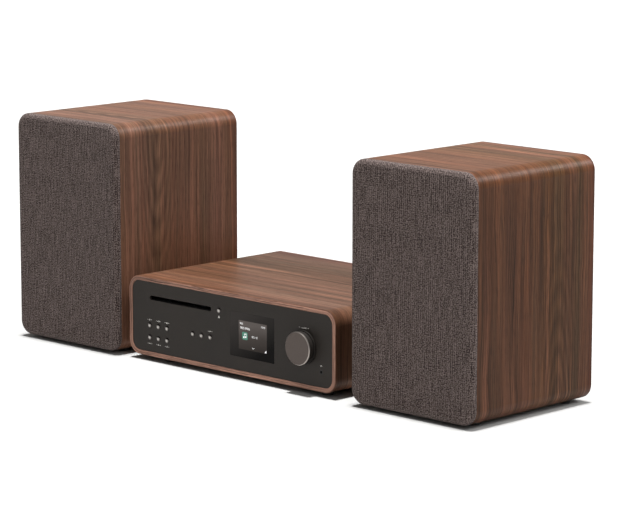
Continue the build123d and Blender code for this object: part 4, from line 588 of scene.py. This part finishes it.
@dataclass(frozen=True)
class TerminalPlastic:
    """Moulded binding-post caps, red and black by pair, round gold-plated stems."""

    name: str
    node: str
    pairs: int
    inset: float = 7.5 * MM
    pitch: float = 19.0 * MM
    half_pitch: float = 9.4 * MM
    stem: float = 3.0 * MM
    grit_mm: float = 1.111

    def make(self) -> Material:
        """Makes the material, which picks the cap's colour by its place.

        Returns:
            The material.
        """
        material, tree, place = blank(self.name)
        (x, height), (half, _) = outline(self.node)
        first, last = x - half + self.inset, x + half - self.inset
        reds = (first, last - self.pitch)[: self.pairs]
        blacks = (last, first + self.pitch)[: self.pairs]
        parts = add(tree, "SeparateXYZ", (place,))
        red: Feed = 0.0
        for middle in reds:
            here = add(tree, "Math.COMPARE", (parts["X"], middle, self.half_pitch))[0]
            red = add(tree, "Math.MAXIMUM", (here, red))[0]
        gold: Feed = 0.0
        for middle in (*reds, *blacks):
            away = distance(tree, place, (middle, height))
            here = add(tree, "Math.LESS_THAN", (away, self.stem))[0]
            gold = add(tree, "Math.MAXIMUM", (here, gold))[0]
        grit = speckle(tree, place, self.grit_mm, 2.0)
        dark = add(tree, "ValToRGB", (grit,), ((0.0, "131212"), (1.0, "1f1d1d")))[0]
        warm = add(tree, "ValToRGB", (grit,), ((0.0, "7d1512"), (1.0, "93201b")))[0]
        colour = add(tree, "Mix", {0: red, 6: dark, 7: warm}, data_type="RGBA")[2]
        colour = add(tree, "Mix", {0: gold, 6: colour, 7: linear("c9a256")}, data_type="RGBA")[2]
        bump = add(tree, "Bump", {"Height": grit, "Distance": 0.01 * MM})[0]
        return close(material, {"Base Color": colour, "Metallic": gold, "Roughness": 0.34, "Normal": bump})


@dataclass(frozen=True)
class SocketSet:
    """The rear sockets: nickel-plated brass on the right, a moulded mains inlet on the left."""

    name: str = "socket_set"
    plated_from_x: float = 0.0
    grit_mm: float = 1.429

    def make(self) -> Material:
        """Makes the material, which is metal or resin by its place.

        Returns:
            The material.
        """
        material, tree, place = blank(self.name)
        parts = add(tree, "SeparateXYZ", (place,))
        metal = add(tree, "Math.GREATER_THAN", (parts["X"], self.plated_from_x))[0]
        grit = speckle(tree, place, self.grit_mm, 2.0)
        resin = add(tree, "ValToRGB", (grit,), ((0.0, "121111"), (1.0, "1d1b1b")))[0]
        nickel = add(tree, "ValToRGB", (grit,), ((0.0, "a39f97"), (1.0, "b8b4ac")))[0]
        colour = add(tree, "Mix", {0: metal, 6: resin, 7: nickel}, data_type="RGBA")[2]
        rough = add(tree, "MapRange", (metal, 0.0, 1.0, 0.5, 0.26))[0]
        return close(material, {"Base Color": colour, "Metallic": metal, "Roughness": rough})


def dress(finish: Finish, *nodes: str) -> None:
    """Makes a finish and gives it to carried-over parts.

    Args:
        finish: the finish.
        *nodes: the parts' names in the frame.
    """
    material = finish.make()
    for node in nodes:
        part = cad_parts[node]
        if part.material_slots:
            part.material_slots[0].material = material
        else:
            part.data.materials.append(material)
        LOG.info("dressed %s in %s", node, material.name)


def settle(name: str, shape: bmesh.types.BMesh) -> bpy.types.Mesh:
    """Turns a shape that was being built into a finished mesh.

    Args:
        name: the mesh's name.
        shape: the shape, which is used up.

    Returns:
        The mesh.
    """
    mesh = bpy.data.meshes.new(name)
    shape.to_mesh(mesh)
    shape.free()
    return mesh


def put(name: str, data: bpy.types.ID) -> Piece:
    """Puts a new object in the scene.

    Args:
        name: the object's name.
        data: its mesh, curve, light or camera.

    Returns:
        The object.
    """
    made = bpy.data.objects.new(name, data)
    bpy.context.scene.collection.objects.link(made)
    return made


def make_piece(name: str, shape: bmesh.types.BMesh, material: Material, body: str) -> Piece:
    """Puts a new piece in the scene, on the body that it moves with.

    Args:
        name: the piece's name.
        shape: its shape, in the row frame, which is used up.
        material: its finish.
        body: the body that it rides on.

    Returns:
        The new object.
    """
    piece = put(name, settle(name, shape))
    piece.data.materials.append(material)
    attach(piece, body)
    LOG.info("built %s with %d faces on %s", name, len(piece.data.polygons), body)
    return piece


def rounded_loop(half: Point, radius: float, steps: int, side_steps: int) -> list[tuple[Point, Point]]:
    """Works out points round a rounded rectangle, counter-clockwise seen from the front.

    Args:
        half: half its width and height.
        radius: its corner radius.
        steps: the divisions of each corner.
        side_steps: the divisions of each straight side.

    Returns:
        Each point with its outward direction.
    """
    core = (half[0] - radius, half[1] - radius)
    corners = []
    for number, (sx, sz) in enumerate(((1, 1), (-1, 1), (-1, -1), (1, -1))):
        arc = []
        for step in range(steps + 1):
            angle = math.pi / 2 * (number + step / steps)
            out = (math.cos(angle), math.sin(angle))
            arc.append(((sx * core[0] + radius * out[0], sz * core[1] + radius * out[1]), out))
        corners.append(arc)
    loop = []
    for number, arc in enumerate(corners):
        loop += arc
        end, out = arc[-1]
        start = corners[(number + 1) % 4][0][0]
        for step in range(1, side_steps):
            share = step / side_steps
            loop.append(((end[0] + (start[0] - end[0]) * share, end[1] + (start[1] - end[1]) * share), out))
    return loop


class Stencil:
    """A set of thin flat shapes on one upright face, each placed from an origin that can be moved."""

    def __init__(self, face_y: float, thickness: float, origin: Point = (0.0, 0.0)) -> None:
        """Starts an empty set.

        Args:
            face_y: the y of the face that it lies on.
            thickness: how far it stands out, towards the front.
            origin: the x and z that its shapes are placed from.
        """
        self.back = face_y
        self.front = face_y - thickness
        self.origin = origin
        self.mesh = bmesh.new()

    def polygon(self, points: list[Point]) -> None:
        """Adds one filled outline.

        Args:
            points: its corners, counter-clockwise seen from the front.
        """
        x0, z0 = self.origin
        sides = (self.front, self.back)
        near, far = ([self.mesh.verts.new((x0 + x, y, z0 + z)) for x, z in points] for y in sides)
        self.mesh.faces.new(near)
        for number in range(len(points)):
            after = (number + 1) % len(points)
            self.mesh.faces.new((near[after], near[number], far[number], far[after]))

    def bar(self, middle: Point, width: float, height: float, turn: float = 0.0) -> None:
        """Adds one bar.

        Args:
            middle: its centre.
            width: its length before it is turned.
            height: its height before it is turned.
            turn: its turn, in degrees.
        """
        c, s = math.cos(math.radians(turn)), math.sin(math.radians(turn))
        corners = ((-1, -1), (1, -1), (1, 1), (-1, 1))
        sides = [(sx * width / 2, sz * height / 2) for sx, sz in corners]
        self.polygon([(middle[0] + x * c - z * s, middle[1] + x * s + z * c) for x, z in sides])

    def round_polygon(self, middle: Point, spokes: list[Point]) -> None:
        """Adds an outline whose points are each given as a radius and an angle."""
        self.polygon([(middle[0] + r * math.cos(t), middle[1] + r * math.sin(t)) for r, t in spokes])

    def ring(self, middle: Point, radius: float, width: float, start: float, end: float) -> None:
        """Adds part of a ring.

        Args:
            middle: its centre.
            radius: its outer radius.
            width: its line's width.
            start: where it starts, in degrees.
            end: where it ends, in degrees.
        """
        inner = radius - width
        for step in range(ROUND_STEPS):
            a, b = (math.radians(start + (end - start) * (step + more) / ROUND_STEPS) for more in (0, 1))
            self.round_polygon(middle, [(inner, a), (radius, a), (radius, b), (inner, b)])

    def disc(self, middle: Point, radius: float) -> None:
        """Adds a filled disc."""
        self.round_polygon(middle, [(radius, math.tau * step / ROUND_STEPS) for step in range(ROUND_STEPS)])

    def arrow(self, middle: Point, size: float, turn: float) -> None:
        """Adds a solid triangle that points right, or elsewhere when turned by some degrees."""
        self.round_polygon(middle, [(size, math.radians(angle + turn)) for angle in (0, 120, 240)])

    def rounded(self, middle: Point, size: Point, radius: float) -> None:
        """Adds a rounded rectangle."""
        loop = rounded_loop((size[0] / 2, size[1] / 2), radius, 6, 1)
        self.polygon([(middle[0] + x, middle[1] + z) for (x, z), _ in loop])

    def numerals(self, text: str, start: Point, height: float) -> None:
        """Adds a line of numerals.

        Args:
            text: digits and their marks.
            start: the line's lower left corner.
            height: the digits' height.
        """
        curve = bpy.data.curves.new("numerals", "FONT")
        curve.body = text
        curve.size = height / DIGIT_SHARE
        curve.extrude = (self.back - self.front) / 2
        holder = put("numerals", curve)
        bpy.context.view_layer.update()
        flat = bpy.data.meshes.new_from_object(holder)
        middle = (self.front + self.back) / 2
        for vertex in flat.vertices:
            x, z, out = vertex.co
            vertex.co = (self.origin[0] + start[0] + x, middle - out, self.origin[1] + start[1] + z)
        self.mesh.from_mesh(flat)
        bpy.data.objects.remove(holder)
        bpy.data.curves.remove(curve)
        bpy.data.meshes.remove(flat)

    def done(self, name: str, material: Material) -> None:
        """Turns the set into a piece that rides on the receiver."""
        make_piece(name, self.mesh, material, "receiver")


# How far each printed mark stands over its part's middle, in millimetres. The marks of the ruled
# keys also have a short rule on each side.
RULED_KEYS = ("standby_key", "source_key", "menu_key", "next_key", "back_key", "preset_key", "info_key")
MARK_HEIGHT_MM = dict(zip(RULED_KEYS, (7.6, 7.6, 7.6, 7.9, -8.9, -8.9, -8.9)))
MARK_HEIGHT_MM |= {"eject_key": -9.3, "headphone_socket": 8.3, "knob_cap": 26.2}


@dataclass
class Receiver:
    """The receiver: its wooden wrap, front panel, screen, keys, knob, rear and insides."""

    knob_edge: float = 1.0 * MM
    key_radius: float = 3.5 * MM
    screen_size: Point = (53.6 * MM, 39.2 * MM)
    # The ink's thickness, a mark's size, its lines' width, and how far out and long the rules are.
    ink: float = 0.05 * MM
    mark: float = 2.0 * MM
    line: float = 0.42 * MM
    rule_out: float = 3.4 * MM
    rule_length: float = 1.9 * MM

    def build(self) -> None:
        """Builds and dresses the whole receiver."""
        self.dress_case()
        self.dress_insides()
        self.print_marks()
        self.light_screen()

    def dress_case(self) -> None:
        """Dresses what shows from outside."""
        veneer = WalnutVeneer(
            "walnut_veneer_receiver",
            "receiver_cabinet",
            bands=(
                (0.0, "4f3324"), (0.12, "614434"), (0.24, "523727"), (0.38, "583b2b"), (0.52, "513625"),
                (0.64, "462e1d"), (0.76, "452f1f"), (0.88, "533b2d"), (1.0, "513025"),
            ),
            arch=(0.03, -0.32),
            shift=0.4,
            contrast=1.3,
        )
        dress(veneer, veneer.node)
        dress(BAKED_ENAMEL, "receiver_front_panel")
        dress(POWDER_COAT, "receiver_rear_panel")
        dress(MOULDED_RUBBER, "receiver_feet")
        dress(BLACKENED_STEEL, "receiver_screws")
        axis, half = outline("knob_cap")
        dress(AnodisedKnob(axis, half[0] - self.knob_edge), "knob_cap")
        dress(PAINTED_SKIRT, "knob_body")
        for node in sorted(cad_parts):
            if node.endswith("_key"):
                # Each key's chrome carries a painted highlight and painted shade at its rim.
                dress(DomedKey(f"chrome_painted_glint_{node}", outline(node)[0], self.key_radius), node)
        dress(MOULDED_ABS, "headphone_socket", "encoder_plunger")
        dress(WindowAcrylic(outline("display_module")[0], self.screen_size), "display_window")
        dress(SCREEN_BEZEL, "display_module")
        dress(TerminalPlastic("post_resin_receiver", "receiver_posts", 2), "receiver_posts")
        dress(SocketSet(), "rear_sockets")

    def dress_insides(self) -> None:
        """Dresses what shows only when the case is open or a part moves."""
        dress(ZINC_PLATE, "receiver_chassis", "disc_drive_frame")
        dress(CircuitLaminate(), "front_board", "main_board", "power_supply")
        dress(MOULDED_ACETAL, "disc_turntable", "laser_sled")
        dress(BUTYL_RUBBER, "feed_roller")
        dress(TURNED_STEEL, "encoder_shaft")

    def print_marks(self) -> None:
        """Prints a plain symbol beside each key, the knob and the headphone socket."""
        ink = Stencil(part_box("receiver_front_panel")[0].y, self.ink)
        size, line = self.mark, self.line

        def beside(node: str) -> None:
            """Moves the stencil's origin over or under a part's middle."""
            x, z = outline(node)[0]
            ink.origin = (x, z + MARK_HEIGHT_MM[node] * MM)

        for node in RULED_KEYS:
            beside(node)
            for end in (-1, 1):
                ink.bar((end * self.rule_out, 0.0), self.rule_length, line)
        beside("standby_key")
        ink.ring((0.0, 0.0), size / 2, line, 125, 415)
        ink.bar((0.0, size * 0.35), line, size * 0.6)
        beside("source_key")
        ink.arrow((-size * 0.35, 0.0), size * 0.4, 0)
        ink.bar((-size * 0.75, 0.0), size * 0.6, line)
        for end in (-1, 1):
            ink.bar((size * 0.4, end * size * 0.42), size * 0.7, line)
        ink.bar((size * 0.72, 0.0), line, size * 0.85)
        beside("menu_key")
        for row in (-1, 0, 1):
            ink.bar((0.0, row * size * 0.36), size * 1.2, line)
        beside("back_key")
        ink.arrow((-size * 0.5, 0.0), size * 0.42, 180)
        ink.bar((size * 0.25, 0.0), size * 1.1, line)
        beside("preset_key")
        for turn in (0, 60, 120):
            ink.bar((0.0, 0.0), size, line, turn)
        beside("info_key")
        ink.ring((0.0, 0.0), size / 2, line * 0.8, 0, 360)
        ink.bar((0.0, -size * 0.1), line, size * 0.4)
        ink.bar((0.0, size * 0.24), line, line)
        beside("next_key")
        for step in (-1, 0):
            ink.arrow((step * size * 0.62, 0.0), size * 0.42, 0)
        ink.bar((size * 0.42, 0.0), line, size * 0.8)
        beside("eject_key")
        ink.arrow((0.0, 0.4 * MM), size * 0.95, 90)
        ink.bar((0.0, -size * 0.5), size * 1.6, line * 1.5)
        # The knob's scale: less, six rising bars, more.
        sign, stroke = 8 * MM, size * 0.9
        beside("knob_cap")
        ink.bar((-sign, 0.0), stroke, line)
        first, pitch, foot, thick = -4.4 * MM, 1.7 * MM, -0.9 * MM, 0.8 * MM
        for step in range(6):
            tall = 0.5 * MM + step * 0.28 * MM
            ink.bar((first + step * pitch, foot + tall / 2), thick, tall)
        ink.bar((sign, 0.0), stroke, line)
        ink.bar((sign, 0.0), line, stroke)
        beside("headphone_socket")
        ink.ring((0.0, 0.0), size * 0.62, line, 0, 180)
        for end in (-1, 1):
            ink.rounded((end * size * 0.52, -size * 0.2), (size * 0.34, size * 0.62), size * 0.1)
        ink.done("panel_marks", PRINTED_INK.make())

    def light_screen(self) -> None:
        """Draws what the screen shows: numerals, a badge and small signs."""
        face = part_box("display_window")[0].y
        x, z = outline("display_module")[0]
        width, height = self.screen_size
        corner = (x - width / 2, z + height / 2)
        white = LitInk("lit_white", "ffffff", 1.2).make()
        text = Stencil(face, self.ink, corner)
        # Each line's words, place from the screen's top left corner, and height, in millimetres.
        for words, right, down, tall in (
            ("98.5", 2.2, 5.4, 2.6), ("12:45", 42.6, 5.4, 2.6),
            ("98.5 MHz", 3.0, 11.6, 3.4), ("03 / 12", 25.0, 21.4, 2.8),
        ):
            text.numerals(words, (right * MM, -down * MM), tall * MM)
        # A small chevron at the foot, and a turned-up corner.
        for right, turn in ((28.6, 35), (26.6, -35)):
            text.bar((right * MM, 3.6 * MM - height), 2.6 * MM, 0.5 * MM, turn)
        end, foot, side = width - 0.8 * MM, 0.8 * MM - height, 3.6 * MM
        text.polygon([(end - side, foot), (end, foot), (end, foot + side)])
        text.done("screen_readout", white)
        middle = (corner[0] + 11.8 * MM, corner[1] - 20.4 * MM)
        badge = Stencil(face, self.ink, middle)
        badge.rounded((0.0, 0.0), (10.6 * MM, 10.6 * MM), 2.2 * MM)
        badge.done("screen_badge", LitInk("lit_green", "3a7f69").make())
        note = Stencil(face - self.ink, self.ink, middle)
        for right, up in ((-1.9, -2.0), (1.7, -1.5)):
            note.disc((right * MM, up * MM), 1.2 * MM)
        for right, up in ((-0.95, 0.2), (2.65, 0.7)):
            note.bar((right * MM, up * MM), 0.5 * MM, 4.4 * MM)
        note.bar((0.85 * MM, 2.6 * MM), 4.1 * MM, 1.0 * MM, 8)
        note.done("screen_note", white)


class Side(Enum):
    """Which speaker it is, by the name that its parts start with."""

    LEFT = "left"
    RIGHT = "right"


@dataclass
class Speaker:
    """One speaker: its cabinet, the cloth over its grille, its drivers and its rear."""

    side: Side
    veneer: WalnutVeneer
    cloth_round: float = 7 * MM
    turn_steps: int = 8
    corner_steps: int = 10
    side_steps: int = 24
    hem: float = 1.0 * MM
    face_shares: tuple[float, ...] = (0.86, 0.7, 0.5, 0.25)

    def node(self, name: str) -> str:
        """Gives a part's full name."""
        return f"{self.side.value}_{name}"

    def build(self) -> None:
        """Builds and dresses the whole speaker."""
        self.dress_parts()
        self.stretch_cloth()

    def dress_parts(self) -> None:
        """Dresses the carried-over parts."""
        dress(self.veneer, self.veneer.node)
        for finish, names in (
            (SPRAYED_FIBREBOARD, ("speaker_baffle", "speaker_back_panel")),
            (MOULDED_ABS, ("grille_frame", "port_tube", "terminal_plate", "tweeter")),
            (POWDER_COAT, ("woofer_basket",)),
            (FELTED_PAPER, ("woofer_cone",)),
            (BUTYL_RUBBER, ("woofer_suspension",)),
            (MOULDED_RUBBER, ("speaker_feet",)),
            (BLACKENED_STEEL, ("speaker_screws",)),
        ):
            dress(finish, *map(self.node, names))
        posts = self.node("speaker_posts")
        dress(TerminalPlastic(f"post_resin_{self.side.value}", posts, 1), posts)

    def stretch_cloth(self) -> None:
        """Makes the cloth: one sheet over the frame's face, round its edge and back to the wood."""
        low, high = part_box(self.node("grille_cloth"))
        middle, half = outline(self.node("grille_cloth"))
        inner_half = (half[0] - self.cloth_round, half[1] - self.cloth_round)
        inner_radius = self.veneer.radius - self.cloth_round
        loop = rounded_loop(inner_half, inner_radius, self.corner_steps, self.side_steps)
        # Each row is how far out from the inner loop, how far back, and the length of cloth used.
        rows = []
        for step in range(self.turn_steps + 1):
            angle = math.pi / 2 * step / self.turn_steps
            out = self.cloth_round * math.sin(angle)
            back = self.cloth_round * (1 - math.cos(angle))
            rows.append((out, back, self.cloth_round * angle))
        depth = high.y - low.y
        run = self.cloth_round * math.pi / 2 + depth - self.cloth_round
        rows.append((self.cloth_round, depth, run))
        rows.append((self.cloth_round - self.hem, depth, run + self.hem))
        mesh = bmesh.new()
        flat_layer = mesh.loops.layers.uv.new("cloth")
        flat: dict[bmesh.types.BMVert, Point] = {}

        def knot(x: float, y: float, z: float, u: float, v: float) -> bmesh.types.BMVert:
            """Adds a point of the cloth, and keeps where it was in the flat cut."""
            flat[point := mesh.verts.new((middle[0] + x, y, middle[1] + z))] = (u, v)
            return point

        rings = [
            [
                knot(x + nx * out, low.y + back, z + nz * out, x + nx * length, z + nz * length)
                for (x, z), (nx, nz) in loop
            ]
            for out, back, length in rows
        ]
        count = len(loop)
        # The face is closed by shrinking the inner loop towards the middle.
        face_rings = [rings[0]]
        for share in self.face_shares:
            face_rings.append([knot(x * share, low.y, z * share, x * share, z * share) for (x, z), _ in loop])
        tip = knot(0.0, low.y, 0.0, 0.0, 0.0)
        for outer, inner in [*zip(rings[1:], rings), *zip(face_rings, face_rings[1:])]:
            for number in range(count):
                after = (number + 1) % count
                mesh.faces.new((inner[number], inner[after], outer[after], outer[number]))
        last = face_rings[-1]
        for number in range(count):
            mesh.faces.new((tip, last[(number + 1) % count], last[number]))
        for face in mesh.faces:
            face.smooth = True
            for corner in face.loops:
                corner[flat_layer].uv = flat[corner.vert]
        bmesh.ops.recalc_face_normals(mesh, faces=mesh.faces)
        material = HeatherCloth().make()
        cloth = make_piece(self.node("cloth"), mesh, material, self.node("grille"))
        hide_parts(self.node("grille_cloth"))
        self.node("grille_frame")


@dataclass
class Studio:
    """The floor, the soft lights and the camera."""

    floor_side: float = 60.0
    roller_mm: float = 33.33
    camera_place: tuple[float, float, float] = (2.846588, -2.891948, 0.86016)
    camera_turn: float = 0.777
    camera_tilt: float = 0.176
    lens: float = 174.82
    sensor: float = 36.0

    def build(self) -> None:
        """Builds the studio."""
        self.lay_floor()
        self.hang_lights()
        self.set_camera()

    def lay_floor(self) -> None:
        """Lays a plain pale floor, painted matt, with the faint mottle of a roller."""
        grid = bmesh.new()
        bmesh.ops.create_grid(grid, x_segments=8, y_segments=8, size=self.floor_side / 2)
        floor = put("floor", settle("floor", grid))
        material, tree, place = blank("rolled_floor_paint")
        mottle = speckle(tree, place, self.roller_mm, 2.0)
        colour = add(tree, "ValToRGB", (mottle,), ((0.0, "b0b0af"), (1.0, "b4b4b3")))[0]
        close(material, {"Base Color": colour, "Roughness": 0.9, "Specular IOR Level": 0.1})
        floor.data.materials.append(material)
        LOG.info("laid the floor")

    def hang_lights(self) -> None:
        """Hangs a light overhead and weaker ones round about, and lights the room."""
        for name, energy, spread, place in (
            ("overhead_light", 6.6, 5.0, (0.0, 0.0, 1.0)),
            ("right_light", 0.7, 50.0, (1.0, -0.3, 0.85)),
            ("rim_light", 1.5, 20.0, (0.35, 0.7, 0.55)),
            ("back_light", 0.2, 60.0, (-0.7, 0.7, 0.45)),
            ("front_light", 0.1, 12.0, (-0.1, -1.0, 0.3)),
        ):
            light = bpy.data.lights.new(name, "SUN")
            light.energy = energy
            light.angle = math.radians(spread)
            put(name, light).rotation_euler = Vector(place).to_track_quat("Z", "Y").to_euler()
        world = bpy.data.worlds.new("room")
        bpy.context.scene.world = world
        world.use_nodes = True
        tree = world.node_tree
        tree.nodes.clear()
        room = add(tree, "Background", {"Color": linear("fbfaf8"), "Strength": 0.24})
        add(tree, "OutputWorld", {"Surface": room[0]})
        bpy.context.scene.view_settings.view_transform = "Standard"
        LOG.info("hung the lights")

    def set_camera(self) -> None:
        """Sets the camera at the front right, a little above the speakers."""
        data = bpy.data.cameras.new("camera")
        data.lens = self.lens
        data.sensor_width = self.sensor
        camera = put("camera", data)
        camera.location = self.camera_place
        camera.rotation_euler = (math.pi / 2 - self.camera_tilt, 0.0, self.camera_turn)
        bpy.context.scene.camera = camera
        LOG.info("set the camera")


def main() -> None:
    """Builds the studio, the receiver and the two speakers, in that order."""
    logging.basicConfig(level=logging.INFO, format="%(name)s: %(message)s")
    Studio().build()
    Receiver().build()
    Speaker(
        Side.LEFT,
        WalnutVeneer(
            "walnut_veneer_left",
            "left_speaker_cabinet",
            # Partly the leaf's own tones, partly painted light: painted lighter overall for the shade the
            # receiver casts on this side.
            bands=(
                (0.0, "5f4132"), (0.1, "704f3f"), (0.2, "5b4032"), (0.34, "5c4130"), (0.44, "644332"),
                (0.58, "614131"), (0.7, "624331"), (0.82, "5f4133"), (0.92, "6d4834"), (1.0, "5d3424"),
            ),
            arch=(-0.072, 0.06),
            shift=1.3,
            # Painted light: the lower side is painted lighter where the receiver beside it shades it.
            painted_light_drift=((-240 * MM, 1.38), (-20 * MM, 0.97)),
            contrast=1.05,
        ),
    ).build()
    Speaker(
        Side.RIGHT,
        WalnutVeneer(
            "walnut_veneer_right",
            "right_speaker_cabinet",
            # Partly the leaf's own tones, partly painted shade: painted darker overall for the extra light on
            # this side.
            bands=(
                (0.0, "4a2d1c"), (0.14, "543320"), (0.26, "533422"), (0.4, "53311e"), (0.5, "583723"),
                (0.6, "53341e"), (0.7, "482f1b"), (0.77, "583724"), (0.86, "49321f"), (0.92, "5a3724"),
                (1.0, "512d1e"),
            ),
            arch=(0.016, -0.30),
            shift=2.7,
            # Painted light: the side is painted darker and the top lighter, as the light falls from above.
            painted_light_drift=((0.0, 0.86), (90 * MM, 1.26)),
            contrast=1.4,
        ),
    ).build()


if __name__ == "__main__":
    main()
